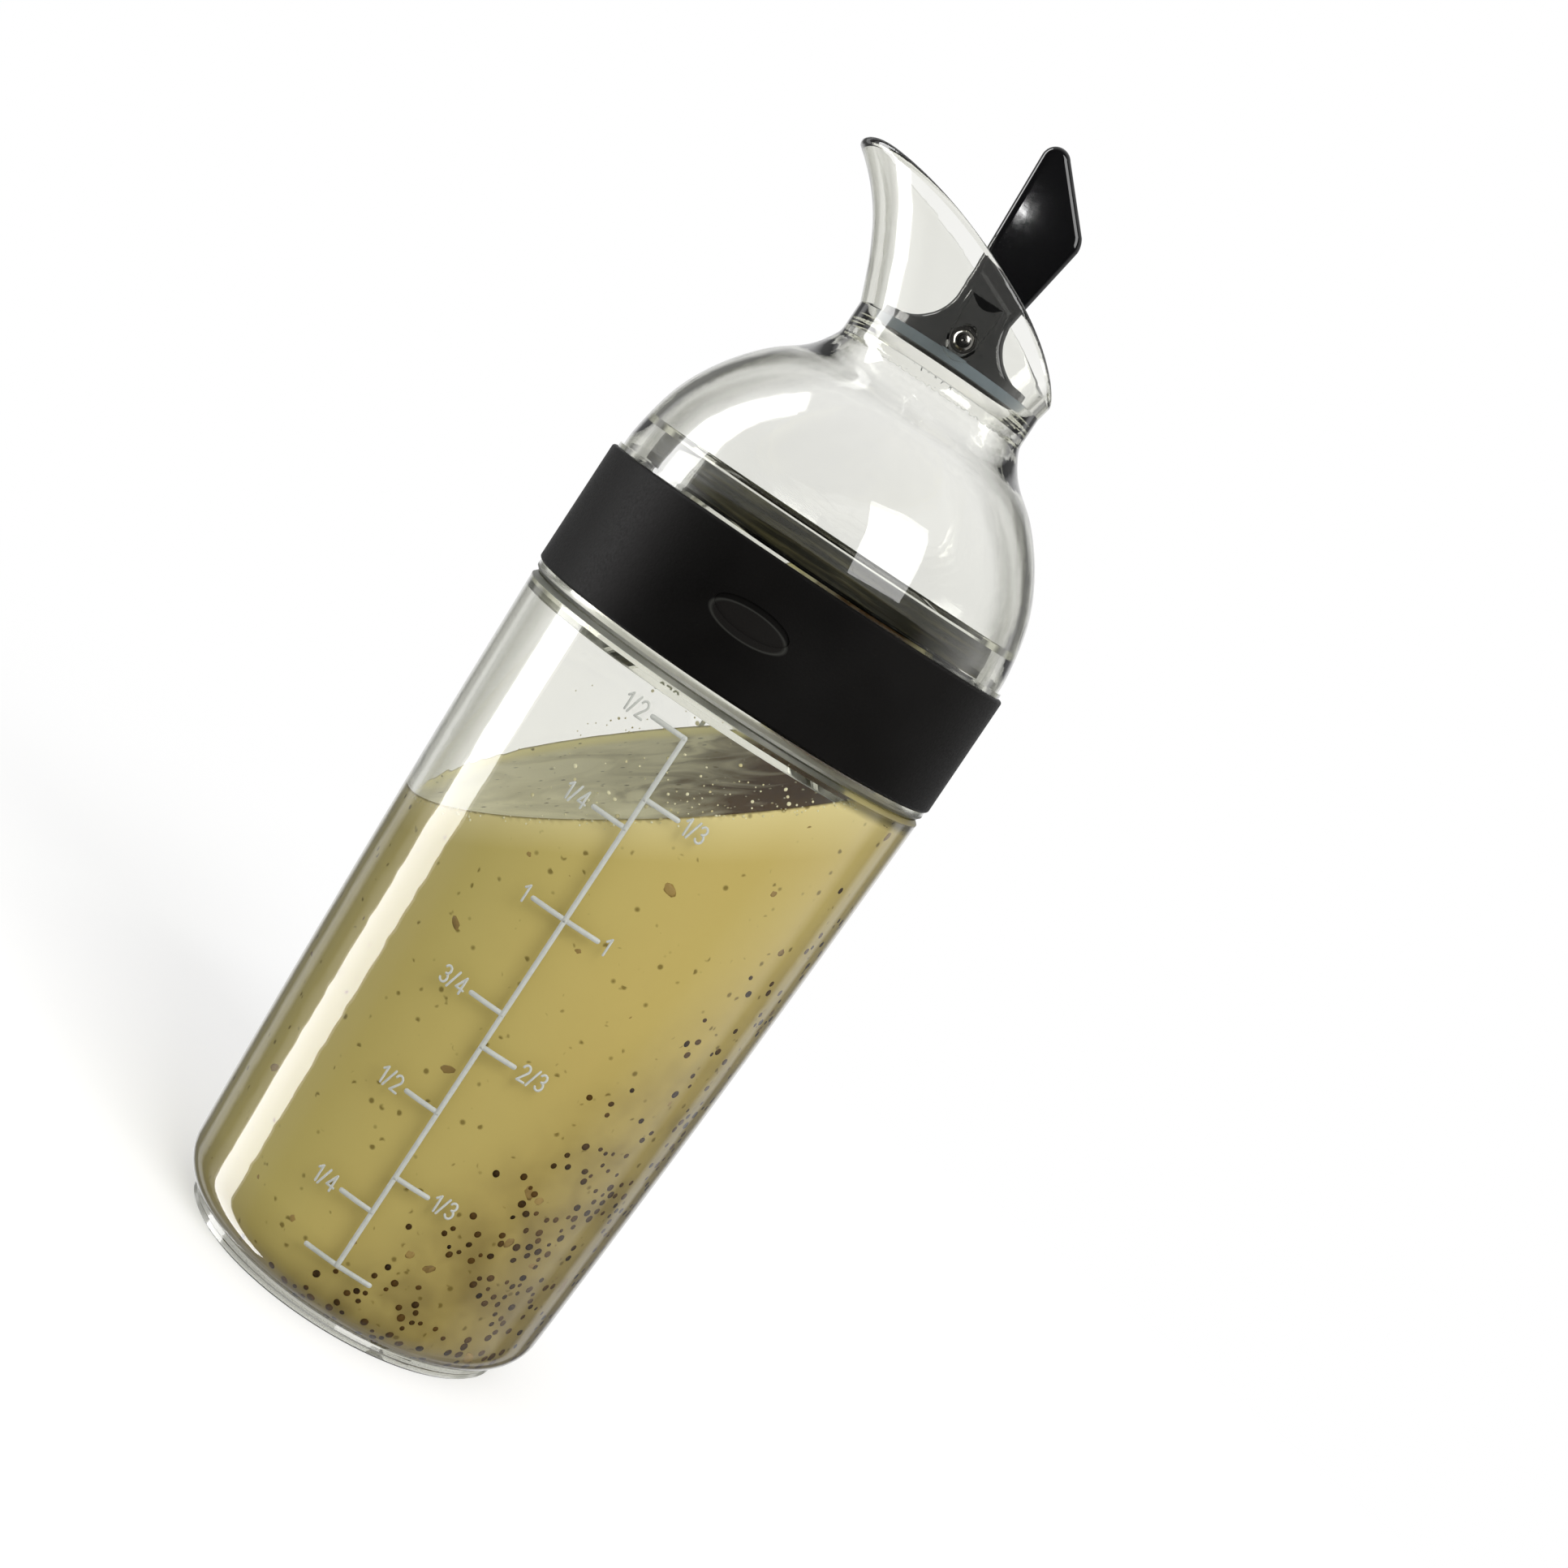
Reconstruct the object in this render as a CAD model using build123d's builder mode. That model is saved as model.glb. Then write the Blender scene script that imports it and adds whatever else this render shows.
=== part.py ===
"""Salad dressing shaker: a clear measuring cup under a clear screw-on lid.

The lid carries a soft grip band, and its pour spout is shut by a lever with a round stopper
that rocks on a cross pin. +Z is up, the origin is the centre of the foot, the pour lip points
along -X and the pin lies along Y. All sizes are in millimetres.
"""
import os
from math import cos, radians, sin, sqrt

from build123d import *

# Cup: foot, side and floor
cup_high_radius = 37.05
cup_taper_width = 4.1
cup_height = 114.9
cup_side_bulge_height = 0.4
foot_step_width = 3.95
foot_rim_width = 4.0
foot_height = 1.5
foot_edge = 0.3
foot_recess_depth = 0.8
cup_corner_radius = 7.3
cup_corner_height = 1.2
cup_wall = 2.2
cup_floor = 3.2
shoulder_round = 0.7

# Cup: neck and thread
shoulder_width = 4.85
neck_height = 24.1
neck_wall = 2.2
neck_lip_round = 0.8
shoulder_slope_height = 0.8
thread_lead = 8.0
thread_starts = 2
thread_turns = 0.9
thread_start_degrees = 40
thread_depth = 1.1
thread_root_width = 1.7
thread_crest_width = 1.0
thread_rise_from_shoulder = 5.6
thread_bite_depth = 0.3
screw_clearance = 0.3

# Lid: skirt, flanges and grip band
lid_gap = 0.3
skirt_wall = 1.8
lip_height = 1.6
lip_setback_width = 0.05
lip_round = 0.5
flange_height = 0.8
flange_step_width = 1.2
band_height = 21.6
band_thickness = 2.0
band_round = 0.5
band_play = 0.05
badge_width = 13.0
badge_height = 4.7
badge_depth = 0.35
badge_turn_degrees = -4.8
badge_height_share = 0.55

# Lid: gasket and the ledge that presses it
seal_height = 4.6
seal_setback_width = 0.4
seal_width = 2.3
seal_round = 2.0
ledge_thickness = 1.2
ledge_width = 2.2

# Lid: dome and spout
dome_height = 35.3
dome_step_width = 0.6
dome_wall = 2.0
throat_radius = 17.0
throat_height = 4.1
spout_wall = 2.1
spout_height = 21.4
spout_lean_width = 8.6
lip_curl_width = 6.5
lip_curl_power = 3.5
spout_side_flare_width = 2.7
spout_back_flare_width = 4.3
spout_overrun_height = 3.0
rim_round = 0.8
spout_sections = 8

# Lid: bosses and cross pin
pin_height_in_spout = 2.5
pin_radius = 1.2
pin_clearance = 0.05
pin_head_radius = 2.1
pin_head_thickness = 0.35
pin_dome_radius = 1.6
pin_dome_height = 0.7
pin_dome_middle_radius = 1.1
pin_dome_middle_height = 0.85
pin_dimple_radius = 0.35
pin_dimple_depth = 0.2
boss_radius = 3.3
boss_height = 0.9
boss_length = 7.0
boss_sink_depth = 1.4
head_recess_play = 0.25
head_recess_depth = 0.6
pin_end_wall = 1.2

# Stopper: plate, ring seal and retainer under the lever
ball_radius = 14.5
ball_clearance = 0.3
plate_radius = 13.3
plate_thickness = 1.5
plate_drop_height = 0.7
ring_height = 1.9
ring_inner_radius = 9.2
ring_play = 0.05
spigot_radius = 9.0
retainer_radius = 12.7
retainer_thickness = 0.8
plug_radius = 4.0
plug_height = 2.2

# Lever
lever_width = 11.0
lever_height = 34.3
lever_foot_half_width = 4.6
lever_lean_width = 1.2
lever_tip_radius = 2.4
lever_brow_height = 22.2
lever_brow_width = 7.4
lever_brow_radius = 4.0
lever_root_height = 7.2
lever_back_foot_width = 5.0
web_half_width = 11.9
web_radius = 8.0
lever_edge_round = 1.3
hub_radius = 2.1
hub_length = 25.0

# Heights and radii that follow
cup_low_radius = cup_high_radius - cup_taper_width
foot_radius = cup_low_radius - foot_step_width
foot_recess_radius = foot_radius - foot_rim_width
neck_radius = cup_high_radius - shoulder_width
neck_top = cup_height + neck_height
lid_bottom = cup_height + lid_gap
band_bottom = lid_bottom + lip_height
band_top = band_bottom + band_height
dome_bottom = band_top + flange_height
seal_bottom = neck_top + lid_gap
seal_top = seal_bottom + seal_height
throat_bottom = dome_bottom + dome_height
spout_base = throat_bottom + throat_height
lip_tip_height = spout_base + spout_height
pin_height = spout_base + pin_height_in_spout
skirt_inner_radius = neck_radius + thread_depth + screw_clearance
skirt_outer_radius = skirt_inner_radius + skirt_wall
lip_radius = cup_high_radius - lip_setback_width
flange_radius = skirt_outer_radius + flange_step_width
dome_base_radius = skirt_outer_radius + dome_step_width
seal_radius = neck_radius - seal_setback_width
band_outer_radius = skirt_outer_radius + band_thickness
seat_radius = ball_radius + ball_clearance
plate_top = pin_height - plate_drop_height
plate_bottom = plate_top - plate_thickness
ring_bottom = plate_bottom - ring_height

# The dome's side runs from its base to the throat; the shares are of its width and height
dome_side_shares = (
    (0.029, 0.15),
    (0.116, 0.34),
    (0.226, 0.47),
    (0.329, 0.56),
    (0.474, 0.66),
    (0.632, 0.745),
    (0.81, 0.82),
    (0.916, 0.887),
    (0.975, 0.94),
)

# The spout's rim seen from the side, as shares of the spout's reach and height
rim_reach_shares = (-0.62, -0.5, -0.28, 0.016, 0.4, 0.72, 0.9, 1.04)
rim_height_shares = (0.0, 0.205, 0.45, 0.67, 0.885, 1.0, 1.02, 0.95)


def thread_ridge(path_radius, bottom, outward):
    """One start of the screw thread, standing outward or inward from its path radius."""
    side = 1 if outward else -1
    with BuildPart() as ridge:
        with BuildLine() as path:
            Helix(thread_lead, thread_lead * thread_turns, path_radius, center=(0, 0, bottom))
        start = path.line @ 0
        section = Plane(origin=start, x_dir=(side, 0, 0), z_dir=path.line % 0)
        with BuildSketch(section):
            with BuildLine():
                Polyline(
                    (-thread_bite_depth, -thread_root_width / 2),
                    (thread_depth, -thread_crest_width / 2),
                    (thread_depth, thread_crest_width / 2),
                    (-thread_bite_depth, thread_root_width / 2),
                    close=True,
                )
            make_face()
        sweep(path=path.line, is_frenet=True)
    return ridge.part


def cup_side(inset):
    """Radius of the cup's side at its low end, middle and high end, moved in by a wall."""
    middle = (cup_low_radius + cup_high_radius) / 2 + cup_side_bulge_height
    return cup_low_radius - inset, middle - inset, cup_high_radius - inset


def build_cup():
    low, middle, high = cup_side(0)
    corner_bottom = cup_corner_height
    corner_top = corner_bottom + cup_corner_radius
    corner_centre = low - cup_corner_radius
    half = cup_corner_radius / sqrt(2)
    foot_drop = cup_corner_radius**2 - (foot_radius - foot_edge - corner_centre) ** 2
    foot_meet = corner_top - sqrt(foot_drop)
    side_middle = (corner_top + cup_height) / 2
    side_top = cup_height - shoulder_round
    inner_low, inner_middle, inner_high = cup_side(cup_wall)
    inner_corner = cup_corner_radius - cup_wall
    inner_centre = inner_low - inner_corner
    inner_half = inner_corner / sqrt(2)
    inner_top = cup_height - cup_wall - shoulder_slope_height / 2
    inner_neck = neck_radius - neck_wall
    slope_top = inner_top + shoulder_slope_height
    with BuildPart() as cup:
        with BuildSketch(Plane.XZ):
            with BuildLine():
                Polyline(
                    (0, foot_recess_depth),
                    (foot_recess_radius - foot_recess_depth, foot_recess_depth),
                    (foot_recess_radius, 0),
                    (foot_radius - foot_edge, 0),
                    (foot_radius, foot_edge),
                    (foot_radius, foot_height - foot_edge),
                    (foot_radius - foot_edge, foot_meet),
                )
                ThreePointArc(
                    (foot_radius - foot_edge, foot_meet),
                    (corner_centre + half, corner_top - half),
                    (low, corner_top),
                )
                ThreePointArc((low, corner_top), (middle, side_middle), (high, side_top))
                Line((high, side_top), (high - shoulder_round, cup_height))
                Polyline(
                    (high - shoulder_round, cup_height),
                    (neck_radius, cup_height),
                    (neck_radius, neck_top - neck_lip_round),
                    (neck_radius - neck_lip_round, neck_top),
                    (inner_neck + neck_lip_round, neck_top),
                    (inner_neck, neck_top - neck_lip_round),
                    (inner_neck, slope_top),
                )
                Line((inner_neck, slope_top), (inner_high, inner_top))
                ThreePointArc(
                    (inner_high, inner_top),
                    (inner_middle, side_middle),
                    (inner_low, cup_floor + inner_corner),
                )
                ThreePointArc(
                    (inner_low, cup_floor + inner_corner),
                    (inner_centre + inner_half, cup_floor + inner_corner - inner_half),
                    (inner_centre, cup_floor),
                )
                Polyline((inner_centre, cup_floor), (0, cup_floor), (0, foot_recess_depth))
            make_face()
        revolve(axis=Axis.Z)
        ridge = thread_ridge(neck_radius, cup_height + thread_rise_from_shoulder, outward=True)
        with PolarLocations(0, thread_starts, start_angle=thread_start_degrees):
            add(ridge)
    cup.part.label = "cup"
    return cup.part


def dome_outline():
    """Points of the dome's side from its base to the throat, as radius and height."""
    reach = dome_base_radius - throat_radius
    points = [(dome_base_radius, dome_bottom)]
    for radius_share, height_share in dome_side_shares:
        points.append((dome_base_radius - reach * radius_share, dome_bottom + dome_height * height_share))
    points.append((throat_radius, throat_bottom))
    return points


def spout_reach(height_share):
    """Front, back and side reach of the spout's outside at a share of its height."""
    curl = lip_curl_width * height_share**lip_curl_power
    front = throat_radius + spout_lean_width * height_share + curl
    back = throat_radius + spout_back_flare_width * height_share
    side = throat_radius + spout_side_flare_width * height_share
    return front, back, side


def spout_wall_across(height_share):
    """The wall's thickness measured level at the front, where the wall leans."""
    curl_slope = lip_curl_width * lip_curl_power * height_share ** (lip_curl_power - 1)
    slope = (spout_lean_width + curl_slope) / spout_height
    return spout_wall * sqrt(1 + slope**2)


def spout_block(inside):
    """The spout as a solid block: its outside, or the space inside its wall."""
    top_share = (spout_height + spout_overrun_height) / spout_height
    with BuildPart() as block:
        for index in range(spout_sections):
            share = top_share * index / (spout_sections - 1)
            front, back, side = spout_reach(share)
            if inside:
                front -= spout_wall_across(share)
                back -= spout_wall
                side -= spout_wall
            with BuildSketch(Plane.XY.offset(spout_base + spout_height * share)):
                with BuildLine():
                    EllipticalCenterArc((0, 0), front, side, start_angle=90, arc_size=180)
                    EllipticalCenterArc((0, 0), back, side, start_angle=270, arc_size=180)
                make_face()
        loft()
    return block.part


def rim_cutter():
    """Everything above the spout's slanting rim."""
    reach = throat_radius + spout_lean_width + lip_curl_width
    points = []
    for reach_share, height_share in zip(rim_reach_shares, rim_height_shares):
        points.append((-reach * reach_share, spout_base + spout_height * height_share))
    top = lip_tip_height + spout_height
    with BuildPart() as cutter:
        with BuildSketch(Plane.XZ):
            with BuildLine():
                Spline(*points)
                Polyline(
                    points[-1],
                    (-2 * reach, points[-1][1]),
                    (-2 * reach, top),
                    (2 * reach, top),
                    (2 * reach, points[0][1]),
                    points[0],
                )
            make_face()
        extrude(amount=reach, both=True)
    return cutter.part


def boss(face_reach):
    """The raised pad round the pin, with a half-round foot, out to its flat face."""
    with BuildPart() as pad:
        with BuildSketch(Plane.XZ.offset(face_reach)):
            with Locations((0, pin_height)):
                Circle(boss_radius)
            with Locations((0, pin_height + boss_length / 2)):
                Rectangle(2 * boss_radius, boss_length)
        extrude(amount=-(boss_height + boss_sink_depth))
    return pad.part


def build_spout_dome():
    side_at_pin = spout_reach(pin_height_in_spout / spout_height)[2]
    boss_face = side_at_pin + boss_height
    ledge_bottom = seal_top + lid_gap
    ledge_radius = seal_radius - ledge_width
    outer = dome_outline()
    with BuildPart() as spout_dome:
        with BuildSketch(Plane.XZ):
            with BuildLine():
                Polyline(
                    (0, lid_bottom),
                    (lip_radius - lip_round, lid_bottom),
                    (lip_radius, lid_bottom + lip_round),
                    (lip_radius, band_bottom),
                    (skirt_outer_radius, band_bottom),
                    (skirt_outer_radius, band_top),
                    (flange_radius, band_top),
                    (flange_radius, dome_bottom),
                    outer[0],
                )
                Spline(*outer, tangents=((0, 1), (0, 1)))
                Polyline(outer[-1], (throat_radius, spout_base), (0, spout_base), (0, lid_bottom))
            make_face()
        revolve(axis=Axis.Z)
        add(spout_block(inside=False))
        # The hollow: threaded skirt, dome, ball seat and pour channel
        with BuildSketch(Plane.XZ):
            with BuildLine():
                inner = [(radius - dome_wall, height) for radius, height in outer[1:-1]]
                inner.append((throat_radius - dome_wall, throat_bottom))
                Polyline(
                    (0, lid_bottom),
                    (skirt_inner_radius, lid_bottom),
                    (skirt_inner_radius, dome_bottom),
                    inner[0],
                )
                Spline(*inner, tangents=((-0.2, 1), (0, 1)))
                Polyline(inner[-1], (0, throat_bottom), (0, lid_bottom))
            make_face()
        revolve(axis=Axis.Z, mode=Mode.SUBTRACT)
        add(ball_seat(), mode=Mode.SUBTRACT)
        add(spout_block(inside=True), mode=Mode.SUBTRACT)
        add(rim_cutter(), mode=Mode.SUBTRACT)
        rim = spout_dome.edges(Select.LAST).filter_by(lambda edge: edge.length > spout_height)
        fillet(rim, rim_round)
        # The ledge that presses the gasket
        with BuildSketch(Plane.XZ):
            with BuildLine():
                Polyline(
                    (ledge_radius, ledge_bottom),
                    (skirt_inner_radius, ledge_bottom),
                    (skirt_inner_radius, ledge_bottom + ledge_thickness),
                    (ledge_radius + ledge_thickness / 2, ledge_bottom + ledge_thickness),
                    (ledge_radius, ledge_bottom + ledge_thickness / 2),
                    close=True,
                )
            make_face()
        revolve(axis=Axis.Z)
        # Thread inside the skirt
        bottom = cup_height + thread_rise_from_shoulder + thread_lead / thread_starts / 2
        ridge = thread_ridge(skirt_inner_radius, bottom, outward=False)
        with PolarLocations(0, thread_starts, start_angle=thread_start_degrees):
            add(ridge)
        # Bosses and pin holes
        pad = boss(boss_face)
        add(pad)
        add(mirror(pad, Plane.XZ, mode=Mode.PRIVATE))
        with BuildSketch(Plane.XZ.offset(boss_face)):
            with Locations((0, pin_height)):
                Circle(pin_head_radius + head_recess_play)
        extrude(amount=-head_recess_depth, mode=Mode.SUBTRACT)
        with BuildSketch(Plane.XZ.offset(boss_face)):
            with Locations((0, pin_height)):
                Circle(pin_radius + pin_clearance)
        extrude(amount=-(2 * boss_face - pin_end_wall), mode=Mode.SUBTRACT)
    spout_dome.part.label = "spout_dome"
    return spout_dome.part


def ball_seat():
    """The throat's seat, a zone of a ball centred on the pin, so the stopper can rock in it."""
    top_reach = sqrt(seat_radius**2 - (pin_height - spout_base) ** 2)
    bottom_reach = sqrt(seat_radius**2 - (pin_height - throat_bottom) ** 2)
    middle = (spout_base + throat_bottom) / 2
    middle_reach = sqrt(seat_radius**2 - (pin_height - middle) ** 2)
    with BuildPart() as seat:
        with BuildSketch(Plane.XZ):
            with BuildLine():
                ThreePointArc((bottom_reach, throat_bottom), (middle_reach, middle), (top_reach, spout_base))
                Polyline(
                    (top_reach, spout_base),
                    (0, spout_base),
                    (0, throat_bottom),
                    (bottom_reach, throat_bottom),
                )
            make_face()
        revolve(axis=Axis.Z)
    return seat.part


def build_grip_band():
    inner_radius = skirt_outer_radius + band_play
    turn = radians(badge_turn_degrees)
    across = (cos(turn), sin(turn), 0)
    outward = (sin(turn), -cos(turn), 0)
    with BuildPart() as badge:
        with BuildSketch(Plane(origin=(0, 0, 0), x_dir=across, z_dir=outward)):
            with Locations((0, band_bottom + band_height * badge_height_share)):
                Ellipse(badge_width / 2, badge_height / 2)
        extrude(amount=band_outer_radius * 2)
        Cylinder(
            band_outer_radius - badge_depth,
            band_top + band_height,
            align=(Align.CENTER, Align.CENTER, Align.MIN),
            mode=Mode.SUBTRACT,
        )
    top = band_top - band_play
    bottom = band_bottom + band_play
    face = band_outer_radius - band_round
    with BuildPart() as grip_band:
        with BuildSketch(Plane.XZ):
            with BuildLine():
                Polyline((face, top), (inner_radius, top), (inner_radius, bottom), (face, bottom))
                RadiusArc((face, bottom), (band_outer_radius, bottom + band_round), -band_round)
                Line((band_outer_radius, bottom + band_round), (band_outer_radius, top - band_round))
                RadiusArc((band_outer_radius, top - band_round), (face, top), -band_round)
            make_face()
        revolve(axis=Axis.Z)
        add(badge.part, mode=Mode.SUBTRACT)
    grip_band.part.label = "grip_band"
    return grip_band.part


def build_lid_seal():
    inner_radius = seal_radius - seal_width
    shoulder = (seal_radius, seal_top - seal_round)
    with BuildPart() as lid_seal:
        with BuildSketch(Plane.XZ):
            with BuildLine():
                Polyline(
                    shoulder,
                    (seal_radius, seal_bottom),
                    (inner_radius, seal_bottom),
                    (inner_radius, seal_top),
                    (seal_radius - seal_round, seal_top),
                )
                RadiusArc((seal_radius - seal_round, seal_top), shoulder, seal_round)
            make_face()
        revolve(axis=Axis.Z)
    lid_seal.part.label = "lid_seal"
    return lid_seal.part


def round_end(centre, radius, facing, across):
    """Middle and end of an arc that turns from the facing direction to the across direction."""
    middle = (facing + across).normalized() * radius
    end = across * radius
    return (centre[0] + middle.X, centre[1] + middle.Y), (centre[0] + end.X, centre[1] + end.Y)


def build_lever():
    """The upright lever, its web, hub, stopper plate and the spigot that holds the ring."""
    half = lever_foot_half_width
    side = lever_width / 2
    top = pin_height + lever_height
    brow = pin_height + lever_brow_height
    root = pin_height + lever_root_height
    front = -half - lever_lean_width
    tip_centre = (front + lever_tip_radius, top - lever_tip_radius)
    brow_centre = (lever_brow_width - lever_brow_radius, brow)
    slant = Vector(brow_centre[0] - tip_centre[0], brow_centre[1] - tip_centre[1])
    across = Vector(-slant.Y, slant.X).normalized()
    tip_middle, tip_leave = round_end(tip_centre, lever_tip_radius, Vector(-1, 0), across)
    brow_middle, brow_meet = round_end(brow_centre, lever_brow_radius, Vector(1, 0), across)
    with BuildPart() as lever:
        with BuildSketch(Plane.XZ):
            with BuildLine():
                Line((-half, root), (front, tip_centre[1]))
                ThreePointArc((front, tip_centre[1]), tip_middle, tip_leave)
                Line(tip_leave, brow_meet)
                ThreePointArc(brow_meet, brow_middle, (lever_brow_width, brow))
                Line((lever_brow_width, brow), (lever_back_foot_width, root))
                RadiusArc((lever_back_foot_width, root), (web_half_width, plate_top), -web_radius)
                Line((web_half_width, plate_top), (-web_half_width, plate_top))
                RadiusArc((-web_half_width, plate_top), (-half, root), -web_radius)
            make_face()
        extrude(amount=side, both=True)
        edges = lever.edges().filter_by(lambda edge: abs(abs(edge.center().Y) - side) < pin_clearance)
        fillet(edges.filter_by(lambda edge: edge.center().Z > pin_height), lever_edge_round)
        with BuildSketch(Plane.XZ):
            with Locations((0, pin_height)):
                Circle(hub_radius)
        extrude(amount=hub_length / 2, both=True)
        with BuildSketch(Plane.XY.offset(plate_bottom)):
            Circle(plate_radius)
        extrude(amount=plate_thickness)
        with BuildSketch(Plane.XY.offset(plate_bottom)):
            Circle(spigot_radius)
        extrude(amount=-(ring_height - ring_play))
        with BuildSketch(Plane.XY.offset(ring_bottom + ring_play)):
            Circle(plug_radius + ring_play)
        extrude(amount=plug_height + ring_play, mode=Mode.SUBTRACT)
        with BuildSketch(Plane.XZ):
            with Locations((0, pin_height)):
                Circle(pin_radius + pin_clearance)
        extrude(amount=hub_length, both=True, mode=Mode.SUBTRACT)
    lever.part.label = "lever"
    return lever.part


def ball_reach(height):
    """How far the stopper's ball reaches at a height, so that it can rock in its seat."""
    return sqrt(ball_radius**2 - (pin_height - height) ** 2)


def build_stopper_seal():
    top = plate_bottom - ring_play
    bottom = ring_bottom + ring_play
    middle = (top + bottom) / 2
    low = (ball_reach(bottom), bottom)
    high = (ball_reach(top), top)
    with BuildPart() as stopper_seal:
        with BuildSketch(Plane.XZ):
            with BuildLine():
                ThreePointArc(low, (ball_reach(middle), middle), high)
                Polyline(high, (ring_inner_radius, top), (ring_inner_radius, bottom), low)
            make_face()
        revolve(axis=Axis.Z)
    stopper_seal.part.label = "stopper_seal"
    return stopper_seal.part


def build_seal_retainer():
    with BuildPart() as seal_retainer:
        with BuildSketch(Plane.XY.offset(ring_bottom)):
            Circle(retainer_radius)
        extrude(amount=-retainer_thickness)
        with BuildSketch(Plane.XY.offset(ring_bottom)):
            Circle(plug_radius)
        extrude(amount=plug_height)
    seal_retainer.part.label = "seal_retainer"
    return seal_retainer.part


def build_pivot_pin():
    """The cross pin: a plain shaft and a low domed head with a ring and a centre dimple."""
    boss_face = spout_reach(pin_height_in_spout / spout_height)[2] + boss_height
    head_seat = boss_face - head_recess_depth
    end = boss_face - pin_end_wall - ring_play
    dome_top = pin_head_thickness + pin_dome_height
    with BuildPart() as pivot_pin:
        with BuildSketch(Plane(origin=(0, 0, pin_height), x_dir=(1, 0, 0), z_dir=(0, 0, -1))):
            with BuildLine():
                Polyline(
                    (0, -end),
                    (pin_radius, -end),
                    (pin_radius, head_seat + ring_play),
                    (pin_head_radius, head_seat + ring_play),
                    (pin_head_radius, head_seat + pin_head_thickness),
                    (pin_dome_radius, head_seat + pin_head_thickness),
                )
                ThreePointArc(
                    (pin_dome_radius, head_seat + pin_head_thickness),
                    (pin_dome_middle_radius, head_seat + pin_dome_middle_height),
                    (pin_dimple_radius, head_seat + dome_top),
                )
                Polyline(
                    (pin_dimple_radius, head_seat + dome_top),
                    (0, head_seat + dome_top - pin_dimple_depth),
                    (0, -end),
                )
            make_face()
        revolve(axis=Axis((0, 0, pin_height), (0, 1, 0)))
    pivot_pin.part.label = "pivot_pin"
    return pivot_pin.part


def write(parts):
    os.makedirs("parts", exist_ok=True)
    for part in parts:
        export_step(part, f"parts/{part.label}.step")


write(
    [
        build_cup(),
        build_lid_seal(),
        build_spout_dome(),
        build_grip_band(),
        build_lever(),
        build_stopper_seal(),
        build_seal_retainer(),
        build_pivot_pin(),
    ]
)
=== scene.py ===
"""Looks of the salad dressing shaker bottle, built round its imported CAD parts.

Laid out as an add-on and run as a script. Everything is in metres in the bottle's own frame:
+Z up the bottle, the pour lip towards -X and the printed measuring scale towards -Y.
"""

import math
from collections import namedtuple

import bmesh
import bpy
import numpy as np
from bpy.props import FloatProperty, FloatVectorProperty, IntProperty, PointerProperty
from mathutils import Matrix, Vector


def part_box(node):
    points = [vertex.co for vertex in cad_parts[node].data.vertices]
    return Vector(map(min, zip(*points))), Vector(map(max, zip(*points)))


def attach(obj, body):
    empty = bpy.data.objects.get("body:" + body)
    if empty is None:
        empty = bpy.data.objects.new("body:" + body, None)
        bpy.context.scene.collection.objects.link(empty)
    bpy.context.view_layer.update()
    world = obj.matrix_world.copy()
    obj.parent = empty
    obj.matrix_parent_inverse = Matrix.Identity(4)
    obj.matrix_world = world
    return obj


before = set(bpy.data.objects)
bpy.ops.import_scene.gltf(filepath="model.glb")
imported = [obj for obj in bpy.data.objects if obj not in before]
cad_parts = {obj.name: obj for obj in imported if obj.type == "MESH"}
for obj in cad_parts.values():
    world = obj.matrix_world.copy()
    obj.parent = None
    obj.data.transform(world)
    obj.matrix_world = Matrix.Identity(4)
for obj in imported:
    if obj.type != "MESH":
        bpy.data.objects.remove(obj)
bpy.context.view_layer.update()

bl_info = {
    "name": "Dressing shaker looks",
    "version": (1, 0, 0),
    "blender": (4, 5, 0),
    "location": "View3D > Sidebar > Shaker",
    "description": "Dresses the packed shaker bottle: plastics, dressing, scale and studio",
    "category": "Object",
}

MM = 0.001
WHITE = (1.0, 1.0, 1.0)
# Where the cup's mouldings turn, as radius and height in millimetres
SIDE_OUTER = ((32.95, 8.5), (35.4, 61.7), (37.05, 114.2))
SIDE_INNER = ((30.75, 8.3), (33.2, 61.7), (34.85, 112.3))
NECK_INNER = (30.0, 113.1)
NECK_RIM_HEIGHT = 130.0
FLOOR_HEIGHT = 3.2
INNER_CORNER = 5.1
# The height of the seam between the cup's shoulder and the lid's lip, and how far it is scuffed
LIP_SEAM = 115.1 * MM
SCUFF_EDGES = (0.8 * MM, 1.3 * MM)
# The blank oval on the grip band: its turn from -Y, half its width as a turn and half its height
BADGE_TURN = math.radians(-4.8)
BADGE_HALF_TURN = 6.5 / 37.4
BADGE_HALF_HEIGHT = 2.35 * MM
SHINE = "Specular IOR Level"
# How many clumps of grains there are in a metre
CLUMP_SCALE = 150.0
# Points round the dressing and the wall, rows up the splashed strip, and steps to its height
AROUND = 180
SPLASH_ROWS = 24
SETTLE_STEPS = 12


def srgb(red, green, blue):
    """A colour of 0 to 255 a channel, as the linear values that shaders take."""
    channels = [value / 255 for value in (red, green, blue)]
    return tuple(c / 12.92 if c <= 0.04045 else ((c + 0.055) / 1.055) ** 2.4 for c in channels)


# Settings


def number_prop(name, description, default, **options):
    return FloatProperty(name=name, description=description, default=default, **options)


def length_prop(name, description, default):
    return number_prop(name, description, default, unit="LENGTH")


def angle_prop(name, description, degrees):
    return number_prop(name, description, math.radians(degrees), subtype="ANGLE")


def vector_prop(name, description, subtype, default, **options):
    return FloatVectorProperty(
        name=name, description=description, subtype=subtype, default=default, **options
    )


def colour_prop(name, description, default):
    return vector_prop(name, description, "COLOR", default, min=0.0, max=1.0)


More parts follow.
